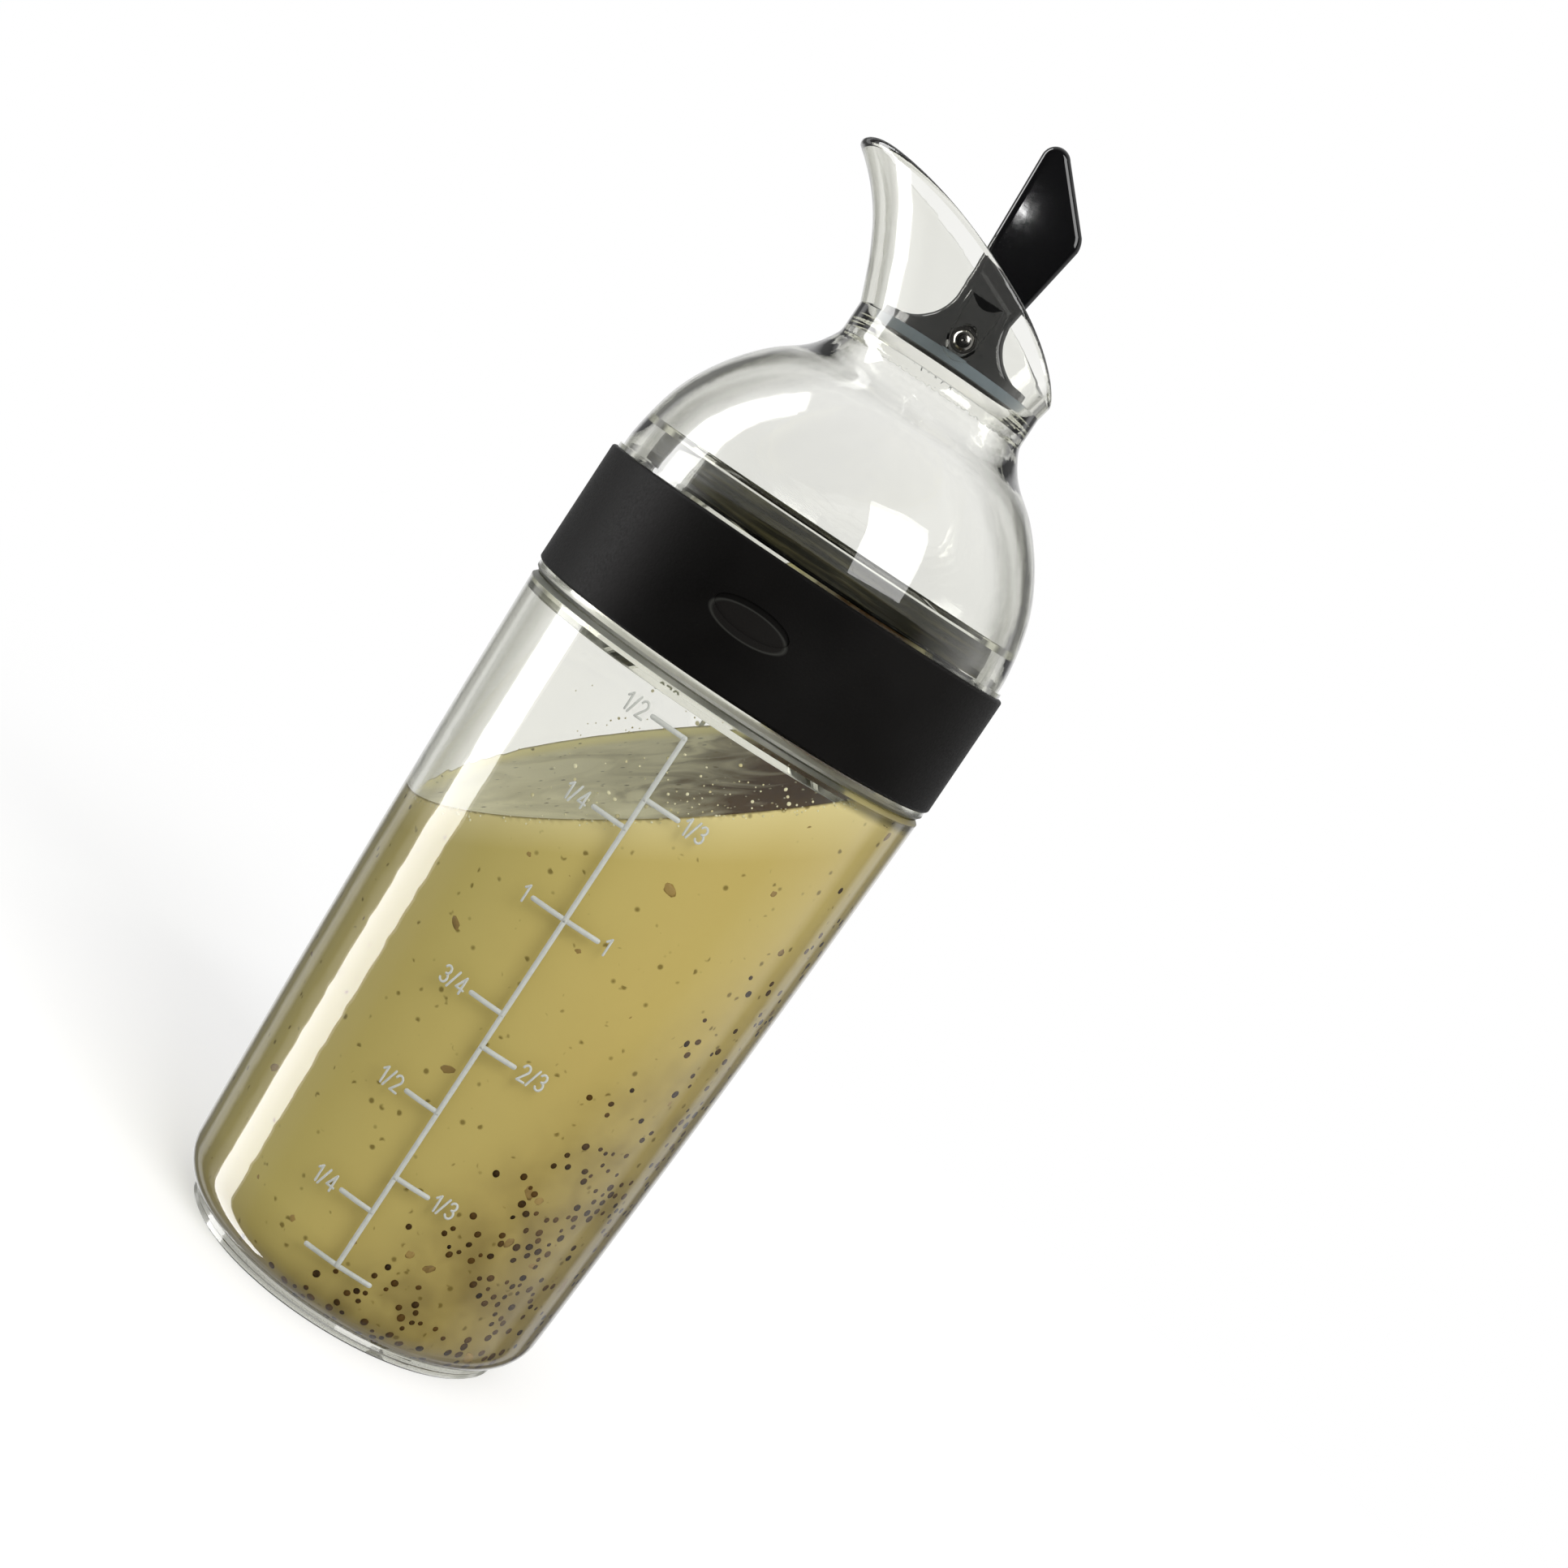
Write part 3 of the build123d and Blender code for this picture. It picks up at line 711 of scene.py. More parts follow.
def pour_to_level(mesh, settings):
    """Cuts the filled cavity at the tilted level and closes it, creeping a little up the wall."""
    shape = bmesh.new()
    shape.from_mesh(mesh)
    open_top = shape.verts.layers.float.new("open_top")
    every = shape.verts[:] + shape.edges[:] + shape.faces[:]
    edge_level = settings.level + settings.creep
    tilt = Vector((-settings.slope_x, -settings.slope_y, 1.0))
    bmesh.ops.bisect_plane(
        shape, geom=every, plane_co=(0.0, 0.0, edge_level), plane_no=tilt, clear_outer=True
    )
    bmesh.ops.remove_doubles(shape, verts=shape.verts[:], dist=settings.wall_overlap)
    ring = {vert for edge in shape.edges if len(edge.link_faces) == 1 for vert in edge.verts}
    ring = sorted(ring, key=lambda vert: math.atan2(vert.co.y, vert.co.x))
    reach = [math.hypot(vert.co.x, vert.co.y) for vert in ring]
    insets = [[radius - inset * MM for radius in reach] for inset in SURFACE_INSETS]
    insets += [[radius * share for radius in reach] for share in SURFACE_SHARES]
    outer = ring
    for radii in insets:
        inner = []
        for vert, full, radius in zip(ring, reach, radii):
            x, y = vert.co.x * radius / full, vert.co.y * radius / full
            climb = settings.creep * math.exp((radius - full) / (settings.creep / 2))
            made = shape.verts.new((x, y, settings.level + rise(settings, x, y) + climb))
            made[open_top] = 1.0
            inner.append(made)
        for index, (first, second) in enumerate(zip(outer, inner)):
            shape.faces.new((outer[index - 1], first, second, inner[index - 1]))
        outer = inner
    shape.faces.new(outer)
    bmesh.ops.recalc_face_normals(shape, faces=shape.faces[:])
    shape.to_mesh(mesh)
    shape.free()
    mesh.shade_smooth()


def write_shares(mesh, **shares):
    for name, numbers in shares.items():
        mesh.attributes.new(name, "FLOAT", "POINT").data.foreach_set("value", numbers)


def ramp(values, start, width):
    """0 up to a start, and then rising to 1 over a width."""
    return np.clip((values - start) / width, 0, 1)


def mark_dressing(mesh, settings):
    """Writes where the dressing is rich in seeds, froth and flecks, and where its far rim's film
    and painted highlight lie.
    """
    places = np.array([vertex.co for vertex in mesh.vertices]) / MM
    open_top = np.array([item.value for item in mesh.attributes["open_top"].data])
    x, y, z = places.T
    radius = np.hypot(x, y)
    wall = np.array([inner_radius(height) for height in z])
    depth = (settings.level + settings.creep) / MM + rise(settings, x, y) - z
    # Where the far rim's film and painted highlight lie
    far_rim = open_top * np.clip(1.3 - (wall - radius) / 3.6, 0, 1) * ramp(y, -8, 8)
    share = np.clip(x / np.maximum(wall, 1), -1, 1)
    rich = ramp(share, np.interp(z, *SEED_LINE), 0.45) ** 1.1 * np.interp(z, *SEED_RICHNESS)
    rich = np.maximum(rich, ramp(share, -0.9, 0.5) * np.interp(z, *FLOOR_RICHNESS))
    flecks = (0.3 + 0.7 * ramp(share, -0.3, 1.2)) * np.interp(z, *FLECK_RICHNESS)
    froth = np.clip(1 - np.abs(depth - 0.5) / 0.9, 0, 1) * (1 - open_top) * (radius > wall - 0.1)
    froth += open_top * ramp(x, 2, 10) * 0.03
    inside = (1 - open_top) * (depth > 3)
    write_shares(
        mesh,
        far_rim=far_rim,
        seed_share=rich * inside,
        froth_share=froth,
        fleck_share=flecks * inside,
    )


def mark_splashes(mesh, settings):
    """Writes where the wall above the dressing is splashed, mostly just above the right half."""
    x, y, z = np.array([vertex.co for vertex in mesh.vertices]).T / MM
    over = z - settings.level / MM - rise(settings, x, y)
    low = np.clip(1 - over / 16, 0, 1)
    write_shares(mesh, splash_share=ramp(x, -24, 26) * low**1.5 * (z < SIDE_INNER[2][1] - 1))


class SHAKER_OT_dressing(bpy.types.Operator):
    """Fills the cup with dressing up to the level that the photograph shows"""

    bl_idname = "shaker.dressing"
    bl_label = "Dressing"

    def execute(self, context):
        settings = context.scene.shaker_dressing
        mesh = closed_mesh("dressing", turned_rings(cavity_profile(settings), AROUND))
        pour_to_level(mesh, settings)
        mark_dressing(mesh, settings)
        piece = new_piece("dressing", mesh, dressing_material(settings))
        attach(piece, "cup")
        return {"FINISHED"}


# Seeds, flecks, froth and drops

# Each kind's name, the share that it is strewn by, how lumpy it is, how far its random seed is
# shifted, its least size, how rare its large grains are, how clumped it is and how flat
POPPY_SEEDS = ("poppy_seeds", "seed_share", 0.0, 0, 0.55, 1.0, 0.92, 0.5)
HERB_FLECKS = ("herb_flecks", "fleck_share", 0.9, 20, 0.13, 14.0, 0.3, 0.2)
FROTH = ("froth", "froth_share", 0.0, -4, 0.45, 2.0, 0.6, 0.7)
WALL_DROPS = ("wall_drops", "splash_share", 0.0, 4, 0.3, 3.0, 0.75, 0.4)
# The radius of a bubble of froth for that of a drop, and how many of their own radii apart
# bubbles and drops lie at least
BUBBLE_SIZE = 0.6
BUBBLE_SPACING = 1.4
DROP_SPACING = 2.2


def grain_material(name, dark, light, roughness, shine=0.5):
    """A grain's finish, between two colours by its own tone, with a fine mottle."""
    material, tree, ends = new_material(name)
    mottle = noise(object_coords(tree), 1500.0, 2.0)
    colour = blend(attribute(tree, "tone"), dark, light)
    colour = blend(spread(mottle, 0.4, 0.65, 0.0, 0.35), colour, light)
    rough = (roughness, roughness + 0.2)
    end_in_pattern(ends, colour, mottle, rough, 0.3, 0.0001, **{SHINE: shine})
    return material


def scatter(source, kind, material, random_seed, *sizes):
    """Strews one kind of grain over a skin and sets it on the cup."""
    name, share, roughness, shift, *looks = kind
    values = dict(zip(GRAIN_NUMBERS, (*sizes, *looks)))
    values.update({"Seed": random_seed + shift, "Material": material})
    mesh = bake_tree(name, source, scatter_tree(name + "_scatter", share, roughness), values)
    piece = new_piece(name, mesh, material)
    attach(piece, "cup")


class SHAKER_OT_solids(bpy.types.Operator):
    """Strews seeds and flecks through the dressing's outside, densest where they settled"""

    bl_idname = "shaker.solids"
    bl_label = "Seeds and flecks"

    def execute(self, context):
        settings = context.scene.shaker_solids
        source = bpy.data.objects["dressing"].data
        seeds = grain_material("poppy_seed", srgb(34, 22, 6), srgb(90, 64, 24), 0.45, 0.12)
        flecks = grain_material("herb_fleck", srgb(118, 92, 42), srgb(160, 132, 72), 0.5)
        spacing, sink = settings.seed_spacing, -settings.seed_radius * 0.1
        for kind, material, density, radius in (
            (POPPY_SEEDS, seeds, settings.seed_density, settings.seed_radius),
            (HERB_FLECKS, flecks, settings.fleck_density, settings.fleck_radius),
        ):
            scatter(source, kind, material, settings.random_seed, spacing, density, radius, sink)
        return {"FINISHED"}


class SHAKER_OT_froth(bpy.types.Operator):
    """Lines the dressing's edge with froth and leaves drops on the wall above it"""

    bl_idname = "shaker.froth"
    bl_label = "Froth and drops"

    def execute(self, context):
        settings = context.scene.shaker_solids
        dressing = context.scene.shaker_dressing
        source = bpy.data.objects["dressing"].data
        froth = grain_material("dressing_froth", srgb(206, 194, 146), srgb(240, 234, 204), 0.15)
        wall = wall_strip("splashed_wall", dressing, *SPLASH_REACH)
        mark_splashes(wall, dressing)
        seed, density, radius = settings.random_seed, settings.drop_density, settings.drop_radius
        bubble = radius * BUBBLE_SIZE
        scatter(source, FROTH, froth, seed, bubble * BUBBLE_SPACING, density, bubble, 0.0)
        scatter(wall, WALL_DROPS, froth, seed, radius * DROP_SPACING, density, radius, 0.0)
        return {"FINISHED"}


# Printed scale

# The sides of the line that a mark has its tick and label on
LEFT, RIGHT, BOTH = (-1,), (1,), (-1, 1)
# Cups, the heights in millimetres at which the front scale marks them, labels and sides
FRONT_MARKS = (
    (1 / 4, 21.7, "1/4", LEFT),
    (1 / 3, 28.3, "1/3", RIGHT),
    (1 / 2, 40.4, "1/2", LEFT),
    (2 / 3, 52.8, "2/3", RIGHT),
    (3 / 4, 58.7, "3/4", LEFT),
    (1, 76.0, "1", BOTH),
    (5 / 4, 92.6, "1/4", LEFT),
    (4 / 3, 97.9, "1/3", RIGHT),
    (3 / 2, 108.7, "1/2", LEFT),
)
# A cup and the rear marks in millilitres, and the height in millimetres of both lines' feet
CUP_VOLUME = 236.6
REAR_VOLUMES = (50, 100, 150, 200, 250, 300, 350)
LINE_FOOT = 11.5
# Numerals as strokes on a field one high: straight runs and the arcs of round parts
GLYPHS = {
    "0": (("arc", 0.23, 0.5, 0.21, 0.48, 90, -270),),
    "1": (((0.02, 0.76), (0.22, 0.98)), ((0.22, 0.98), (0.22, 0.02))),
    "2": (
        ("arc", 0.23, 0.73, 0.2, 0.25, 165, -35),
        ((0.395, 0.585), (0.03, 0.02)),
        ((0.03, 0.02), (0.45, 0.02)),
    ),
    "3": (("arc", 0.2, 0.755, 0.19, 0.225, 155, -90), ("arc", 0.2, 0.275, 0.21, 0.255, 90, -155)),
    "4": (
        ((0.35, 0.02), (0.35, 0.98)),
        ((0.35, 0.98), (0.02, 0.28)),
        ((0.02, 0.28), (0.48, 0.28)),
    ),
    "5": (
        ((0.42, 0.98), (0.09, 0.98)),
        ((0.09, 0.98), (0.06, 0.56)),
        ("arc", 0.21, 0.32, 0.22, 0.3, 130, -150),
    ),
    "/": (((0.02, -0.02), (0.32, 1.02)),),
}
GLYPH_WIDTHS = {"0": 0.46, "1": 0.26, "2": 0.47, "3": 0.43, "4": 0.5, "5": 0.45, "/": 0.34}
GLYPH_SPACE = 0.13
ARC_STEPS = 14
LINE_STEPS = 24
# How far along a stroke's round end, in widths, and how fat the stroke is there
ROUND_END = ((0.0, 0.06), (0.06, 0.5), (0.2, 0.82), (0.5, 1.0))


def glyph_stroke(stroke):
    """The points of one stroke of a numeral."""
    if stroke[0] != "arc":
        return list(stroke)
    _, across, up, half_width, half_height, start, end = stroke
    turns = [start + (end - start) * step / ARC_STEPS for step in range(ARC_STEPS + 1)]
    return [
        (across + half_width * math.cos(turn), up + half_height * math.sin(turn))
        for turn in map(math.radians, turns)
    ]


def label_width(text):
    return sum(GLYPH_WIDTHS[mark] for mark in text) + GLYPH_SPACE * (len(text) - 1)


def label_strokes(text, left, middle, height, width):
    """The strokes of a label that starts at a place across the scale, centred on a height."""
    strokes = []
    for mark in text:
        for stroke in map(glyph_stroke, GLYPHS[mark]):
            points = [(left + x * height, middle + (y - 0.5) * height) for x, y in stroke]
            strokes.append((points, width))
        left += (GLYPH_WIDTHS[mark] + GLYPH_SPACE) * height
    return strokes


def round_ends(points, width):
    """Adds points near a stroke's ends and how fat it is at each, so that the ends are round."""
    points = [Vector(point) for point in points]
    first = (points[1] - points[0]).normalized() * width
    last = (points[-2] - points[-1]).normalized() * width
    made = [(points[0] + first * (along - 0.5), fatness) for along, fatness in ROUND_END]
    made += [(point, 1.0) for point in points[1:-1]]
    for along, fatness in reversed(ROUND_END):
        made.append((points[-1] + last * (along - 0.5), fatness))
    return made


def strokes_mesh(name, strokes):
    """Edges along each stroke, laid flat, with the stroke's width at every point."""
    points, edges, widths = [], [], []
    for line, width in strokes:
        rounded = round_ends(line, width)
        start = len(points)
        points += [(point.x, 0.0, point.y) for point, _ in rounded]
        widths += [fatness * width for _, fatness in rounded]
        edges += [(start + index, start + index + 1) for index in range(len(rounded) - 1)]
    mesh = new_mesh(name, points, edges, [])
    write_shares(mesh, fatness=widths)
    return mesh


def scale_strokes(settings, foot, marks):
    """A scale's line, its foot, and a tick and label on each side that a mark names."""
    height, line, tick = settings.numeral_height, settings.line_width, settings.tick_length
    low, high = LINE_FOOT * MM, marks[-1][0] * MM
    spine = [(0.0, low + (high - low) * step / LINE_STEPS) for step in range(LINE_STEPS + 1)]
    strokes = [(spine, line), ([(share * tick, low) for share in foot], line)]
    for level, text, sides in marks:
        level *= MM
        for side in sides:
            strokes.append(([(side * share * tick, level) for share in (0.0, 0.5, 1.0)], line))
            left = tick + settings.label_gap
            if side < 0:
                left = -left - label_width(text) * height
            strokes += label_strokes(text, left, level, height, settings.stroke_width)
    return strokes


def rear_marks():
    """The millilitre marks, at heights that follow from the front scale's."""
    volumes = [cups * CUP_VOLUME for cups, *_ in FRONT_MARKS]
    levels = [level for _, level, *_ in FRONT_MARKS]
    slope = (levels[1] - levels[0]) / (volumes[1] - volumes[0])
    marks = []
    for volume in REAR_VOLUMES:
        level = np.interp(volume, volumes, levels) + min(volume - volumes[0], 0) * slope
        marks.append((level, str(volume), RIGHT))
    return marks


def ink_material(settings):
    """Screen-printed grey ink, a little uneven."""
    material, tree, ends = new_material("printed_ink")
    patches = noise(object_coords(tree), 900.0, 3.0)
    darker = tuple(0.72 * channel for channel in settings.ink)
    colour = blend(spread(patches, 0.35, 0.7, 0.0, 0.35), settings.ink, darker)
    end_in_pattern(ends, colour, patches, (0.42, 0.6), 0.2, 0.00003)
    return material


class SHAKER_OT_scales(bpy.types.Operator):
    """Prints the measuring scale on the cup's front and a millilitre scale on its back"""

    bl_idname = "shaker.scales"
    bl_label = "Printed scales"

    def execute(self, context):
        settings = context.scene.shaker_scale
        ink = ink_material(settings)
        tree = ribbon_tree()
        square, slope, base = map(float, through(SIDE_OUTER))
        front_marks = [mark[1:] for mark in FRONT_MARKS]
        for name, azimuth, foot, marks in (
            ("front_scale", settings.front_azimuth, (-1.0, 0.0, 1.0), front_marks),
            ("rear_scale", settings.rear_azimuth, (0.0, 0.5, 1.0), rear_marks()),
        ):
            numbers = (azimuth, square / MM, slope, base * MM, settings.ink_height)
            values = {**dict(zip(STROKE_NUMBERS, numbers)), "Material": ink}
            strokes = strokes_mesh(name, scale_strokes(settings, foot, marks))
            piece = new_piece(name, bake_tree(name, strokes, tree, values), ink)
            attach(piece, "cup")
        return {"FINISHED"}


# Black, grey and steel pieces

# A moulding's grains in a metre, how pale its clouds are, its least and most roughness, its
# specular level, its sheen, and its grain's bump strength and depth
Look = namedtuple("Look", "grain cloud roughness shine sheen bump depth")
LOOKS = {
    "soft_rubber": Look(2600.0, 1.5, (0.42, 0.55), 0.06, 0.0, 0.35, 0.00008),
    "gloss": Look(900.0, 1.3, (0.03, 0.06), 0.5, 0.0, 0.02, 0.00005),
    "silicone": Look(1600.0, 1.25, (0.3, 0.45), 0.45, 0.1, 0.15, 0.00006),
    "satin": Look(2000.0, 1.4, (0.35, 0.5), 0.4, 0.0, 0.2, 0.00005),
}


def frame_height(node):
    """The middle height of a CAD node."""
    low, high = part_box(node)
    return (low.z + high.z) / 2


def paler(colour, factor, lift=0.0):
    return tuple(min(1.0, channel * factor + lift) for channel in colour)


def moulded(name, colour, look):
    """Moulded rubber or plastic, with a fine grain and faint clouds."""
    material, tree, ends = new_material(name)
    coords = object_coords(tree)
    grain = noise(coords, look.grain, 3.0)
    clouds = spread(noise(coords, 40.0, 3.0), 0.35, 0.7)
    tint = blend(clouds, colour, paler(colour, look.cloud, 0.002))
    gloss = {SHINE: look.shine, "Sheen Weight": look.sheen, "Sheen Roughness": 0.4}
    end_in_pattern(ends, tint, grain, look.roughness, look.bump, look.depth, **gloss)
    return material


def badge_masks(coords):
    """Where the blank oval on the band's front is, and where its thin edge is."""
    place = parts_of(coords)
    turn = maths("ARCTAN2", place["X"], times(place["Y"], -1.0))
    spans = (
        (turn, BADGE_TURN, BADGE_HALF_TURN),
        (place["Z"], frame_height("grip_band"), BADGE_HALF_HEIGHT),
    )
    across, up = (
        spread(value, middle - half, middle + half, -1.0, 1.0, clamp=False)
        for value, middle, half in spans
    )
    reach = length_of(combine(across, up, 0.0))
    inside = spread(reach, 0.92, 1.0, 1.0, 0.0)
    outside = spread(reach, 1.0, 1.08, 1.0, 0.0)
    return inside, maths("SUBTRACT", outside, inside)


def band_rubber(colour, edge_sheen_colour):
    """The grip band's rubber, its blank oval a little paler inside, with a painted sheen along the
    oval's edge.
    """
    material = moulded("band_soft_rubber", colour, LOOKS["soft_rubber"])
    tree = material.node_tree
    shader = next(node for node in tree.nodes if node.type == "BSDF_PRINCIPLED")
    socket = shader.inputs["Base Color"]
    inside, rim = badge_masks(object_coords(tree))
    raised = tuple(channel * 3 for channel in colour)
    tint = times(inside, 0.8)
    tint = blend(tint, socket.links[0].from_socket, raised)
    # Painted sheen: the oval's thin edge turns paler
    plug(socket, blend(rim, tint, edge_sheen_colour))
    return material


def streaked_gasket(colour):
    """A dark gasket with painted glints: pale streaks round its height where it shows through the
    dome.
    """
    material, tree, ends = new_material("gasket_painted_glints")
    drawn = mapped(object_coords(tree), Scale=(60.0, 60.0, 1400.0))
    streaks = noise(drawn, 1.0, 4.0, 0.4)
    # Painted glints: pale streaks across the gasket's dark colour
    tint = blend(spread(streaks, 0.45, 0.72), colour, paler(colour, 7))
    end_in_pattern(ends, tint, streaks, (0.3, 0.5), 0.5, 0.0003, **{SHINE: 0.2})
    return material


def turned_steel(colour):
    """Polished steel with the fine rings of its turning round the pin's own axis."""
    material, tree, ends = new_material("pin_turned_steel")
    axis = (0.0, 0.0, -frame_height("pivot_pin"))
    centred = mapped(object_coords(tree), Location=axis)
    flat = vector_maths("MULTIPLY", {0: centred, 1: (1.0, 0.0, 1.0)})
    ripple = times(length_of(flat), 22000.0)
    rings = maths("SINE", ripple)
    look = {
        "Base Color": colour,
        "Metallic": 1.0,
        "Roughness": spread(rings, -1.0, 1.0, 0.14, 0.26),
        "Normal": bump(rings, 0.15, 0.00002),
    }
    plug(ends["Surface"], join("ShaderNodeBsdfPrincipled", look))
    return material


class SHAKER_OT_grip_band(bpy.types.Operator):
    """Gives the grip band its soft black rubber"""

    bl_idname = "shaker.grip_band"
    bl_label = "Grip band"

    def execute(self, context):
        colours = context.scene.shaker_black
        dress_node("grip_band", band_rubber(colours.band, colours.badge_rim))
        return {"FINISHED"}


class SHAKER_OT_gasket(bpy.types.Operator):
    """Gives the lid's gasket its dark rubber with painted glints"""

    bl_idname = "shaker.gasket"
    bl_label = "Lid gasket"

    def execute(self, context):
        dress_node("lid_seal", streaked_gasket(context.scene.shaker_black.gasket))
        return {"FINISHED"}


class SHAKER_OT_stopper(bpy.types.Operator):
    """Finishes the lever, its silicone ring, the retainer and the steel pin"""

    bl_idname = "shaker.stopper"
    bl_label = "Lever, ring, retainer and pin"

    def execute(self, context):
        colours = context.scene.shaker_black
        for node, finish, colour, look in (
            ("lever", "lever_gloss_black", colours.lever, "gloss"),
            ("stopper_seal", "ring_silicone", colours.ring, "silicone"),
            ("seal_retainer", "retainer_satin", colours.lever, "satin"),
        ):
            dress_node(node, moulded(finish, colour, LOOKS[look]))
        dress_node("pivot_pin", turned_steel(colours.pin))
        return {"FINISHED"}


# Studio

# Each lamp's name, place, target, width and height, power and whether it lights matt surfaces
LAMPS = (
    ("key_lamp", (0.55, -0.9, 0.75), (0.0, 0.0, 0.1), (0.7, 0.7), 9.0, True),
    ("left_strip", (-0.9, 0.045, -0.35), (0.0, 0.0, -0.35), (0.32, 3.3), 24.0, False),
    ("left_glow", (-0.92, 0.045, -0.35), (0.0, 0.0, -0.35), (0.38, 3.4), 6.0, False),
    ("sparkle", (-0.013, -1.0, 0.343), (-0.003, 0.0, 0.203), (0.007, 0.0045), 0.005, False),
)
# Radii in millimetres of the floor's inner rings, points round it, and where it turns to white
FLOOR_RINGS = (50.0, 200.0, 600.0, 1500.0)
FLOOR_AROUND = 96
FLOOR_FADE = (0.12, 0.4)


def camera_matrix(settings):
    """The camera's place and turn, from its yaw, pitch and roll."""
    yaw, pitch, roll = settings.camera_turn
    level = math.cos(pitch)
    forward = Vector((math.sin(yaw) * level, math.cos(yaw) * level, math.sin(pitch)))
    level_right = Vector((math.cos(yaw), -math.sin(yaw), 0.0))
    level_up = level_right.cross(forward)
    right = math.cos(roll) * level_right + math.sin(roll) * level_up
    up = -math.sin(roll) * level_right + math.cos(roll) * level_up
    turn = Matrix((right, up, -forward)).transposed().to_4x4()
    return Matrix.Translation(settings.camera_place) @ turn


def add_lamp(name, place, target, size, power, lights_matt):
    """A rectangular soft lamp that faces a target."""
    data = bpy.data.lights.new(name, "AREA")
    data.shape = "RECTANGLE"
    data.size, data.size_y = size
    data.energy = power
    lamp = bpy.data.objects.new(name, data)
    lamp.location = place
    aim = Vector(target) - Vector(place)
    lamp.rotation_euler = aim.to_track_quat("-Z", "Y").to_euler()
    lamp.visible_diffuse = lights_matt
    lamp.visible_camera = False
    bpy.context.scene.collection.objects.link(lamp)


def white_for_looks(tree):
    """1 for rays from the camera or by way of gloss or clear plastic, and 0 for others."""
    path = tree.nodes.new("ShaderNodeLightPath").outputs
    seen = path["Is Camera Ray"]
    for name in ("Is Glossy Ray", "Is Transmission Ray"):
        seen = maths("MAXIMUM", seen, path[name])
    return seen


def room_brightness(tree):
    """How bright each direction looks: boards, darker gaps, and a dim front when mirrored."""
    parts = parts_of(tree.nodes.new("ShaderNodeTexCoord").outputs["Generated"])
    turn = maths("ARCTAN2", parts["Y"], parts["X"])
    folded = maths("COSINE", times(turn, 2.0))
    folded = maths("ABSOLUTE", folded)
    square_on = spread(folded, 0.6, 0.8)
    between = spread(folded, 0.12, 0.3, 1.0, 0.0)
    overhead = spread(maths("ABSOLUTE", parts["Z"]), 0.6, 0.85, 0.0, 0.7)
    boards = maths("MAXIMUM", maths("MAXIMUM", square_on, between), overhead)
    bright = spread(boards, 0.0, 1.0, 0.25, 1.0)
    path = tree.nodes.new("ShaderNodeLightPath").outputs
    mirrored = spread(path["Glossy Depth"], 0.0, 1.0)
    front = maths("SUBTRACT", spread(parts["Y"], -0.5, 0.3, 0.03, 1.0), 1.0)
    dimmed = maths("MULTIPLY_ADD", front, mirrored, 1.0)
    bright = times(bright, dimmed)
    return maths("MAXIMUM", bright, path["Is Camera Ray"])


def set_world(settings):
    world = bpy.data.worlds.new("studio_room")
    bpy.context.scene.world = world
    tree, ends = cleared_tree(world, "ShaderNodeOutputWorld")
    plain, white = (
        add_node(tree, "ShaderNodeBackground", {"Color": WHITE, "Strength": strength})
        for strength in (settings.room_light, room_brightness(tree))
    )
    plug(ends["Surface"], shader_mix(white_for_looks(tree), plain, white))


def floor_material():
    """A pale floor that keeps the bottle's shadow and turns to plain white away from it."""
    material, tree, ends = new_material("studio_floor")
    coords = object_coords(tree)
    seen = white_for_looks(tree)
    nothing, lift, white = (
        add_node(tree, "ShaderNodeEmission", {"Color": WHITE, "Strength": strength})
        for strength in (0.0, 0.45, 1.0)
    )
    grain = spread(noise(coords, 9.0), 0.3, 0.7, 0.78, 0.8)
    pale = join("ShaderNodeBsdfDiffuse", {"Color": grain})
    lifted = shader_mix(seen, nothing, lift)
    near = join("ShaderNodeAddShader", {0: pale, 1: lifted})
    away = times(spread(length_of(coords), *FLOOR_FADE), seen)
    plug(ends["Surface"], shader_mix(away, near, white))
    return material


def floor_mesh(radius):
    """A flat disc of rings round the bottle's foot."""
    profile = [(ring, 0.0) for ring in (*FLOOR_RINGS, radius / MM)]
    points = [point for ring in turned_rings(profile, FLOOR_AROUND) for point in ring]
    faces = ring_faces(len(profile) - 1, FLOOR_AROUND, turned_over=True)
    return new_mesh("studio_floor", points, [], [*faces, tuple(range(FLOOR_AROUND))])


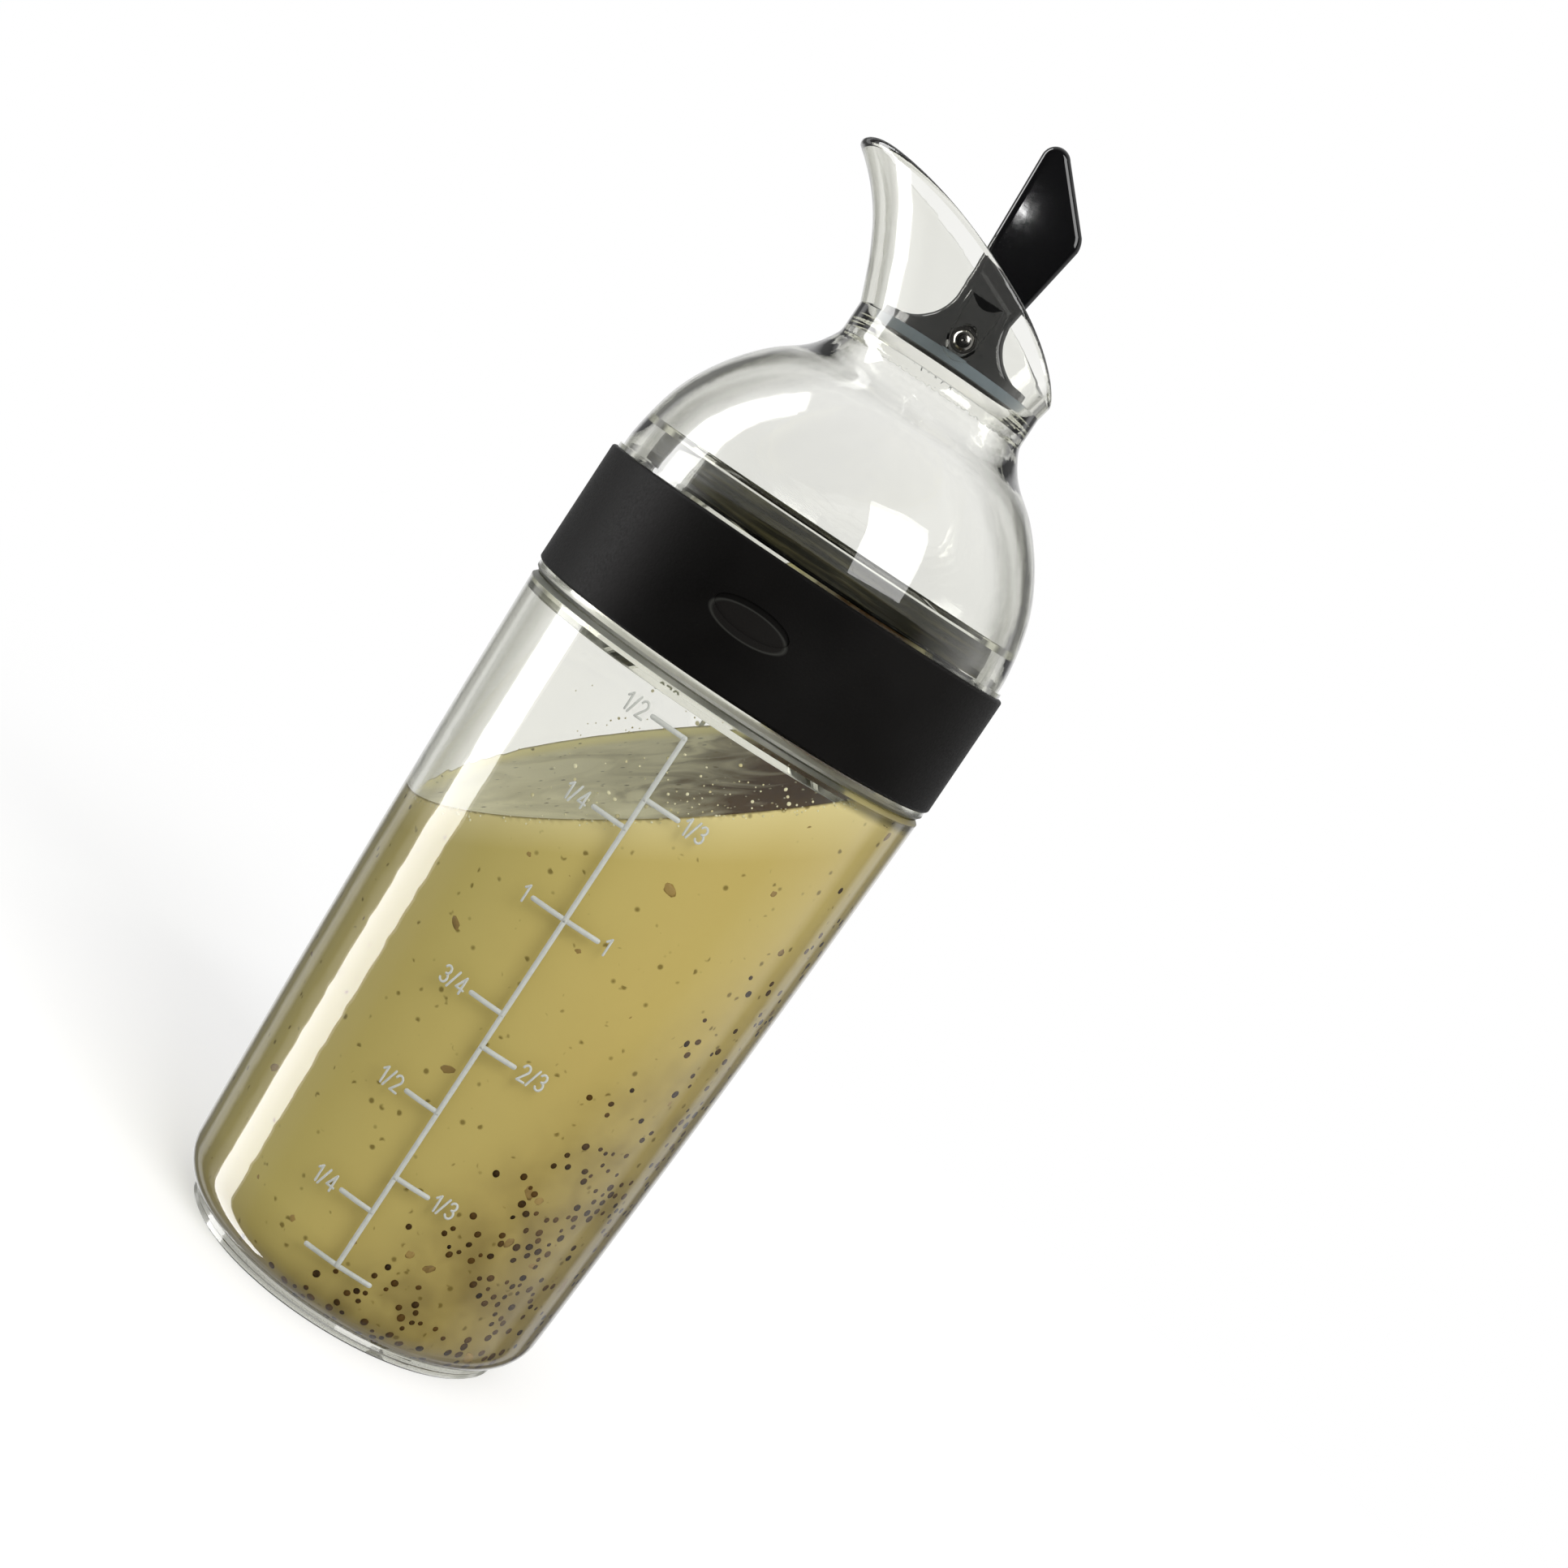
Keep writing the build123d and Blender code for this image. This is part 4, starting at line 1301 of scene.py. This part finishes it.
class SHAKER_OT_studio(bpy.types.Operator):
    """Sets the pale floor, the soft lamps, the white room and the camera"""

    bl_idname = "shaker.studio"
    bl_label = "Studio"

    def execute(self, context):
        scene = context.scene
        settings = scene.shaker_studio
        scene.view_settings.view_transform = "Standard"
        set_world(settings)
        floor = new_piece("studio_floor", floor_mesh(settings.floor_radius), floor_material())
        floor.visible_glossy = False
        for lamp in LAMPS:
            add_lamp(*lamp)
        data = bpy.data.cameras.new("studio_camera")
        data.lens = settings.lens
        data.sensor_width = 36.0
        data.clip_start = 0.01
        camera = bpy.data.objects.new("studio_camera", data)
        camera.matrix_world = camera_matrix(settings)
        scene.collection.objects.link(camera)
        scene.camera = camera
        return {"FINISHED"}


OPERATORS = (
    SHAKER_OT_clear_mouldings,
    SHAKER_OT_dressing,
    SHAKER_OT_solids,
    SHAKER_OT_froth,
    SHAKER_OT_scales,
    SHAKER_OT_grip_band,
    SHAKER_OT_gasket,
    SHAKER_OT_stopper,
    SHAKER_OT_studio,
)


class SHAKER_PT_looks(bpy.types.Panel):
    """Lists the pieces that this add-on dresses"""

    bl_idname = "SHAKER_PT_looks"
    bl_label = "Dressing shaker"
    bl_space_type = "VIEW_3D"
    bl_region_type = "UI"
    bl_category = "Shaker"

    def draw(self, context):
        for operator in OPERATORS:
            self.layout.operator(operator.bl_idname)


def register():
    for group in SETTINGS.values():
        bpy.utils.register_class(group)
    for name, group in SETTINGS.items():
        setattr(bpy.types.Scene, name, PointerProperty(type=group))
    for operator in OPERATORS:
        bpy.utils.register_class(operator)
    bpy.utils.register_class(SHAKER_PT_looks)


def unregister():
    bpy.utils.unregister_class(SHAKER_PT_looks)
    for operator in reversed(OPERATORS):
        bpy.utils.unregister_class(operator)
    for name, group in SETTINGS.items():
        delattr(bpy.types.Scene, name)
        bpy.utils.unregister_class(group)


def main():
    register()
    for operator in OPERATORS:
        group, name = operator.bl_idname.split(".")
        getattr(getattr(bpy.ops, group), name)()


if __name__ == "__main__":
    main()
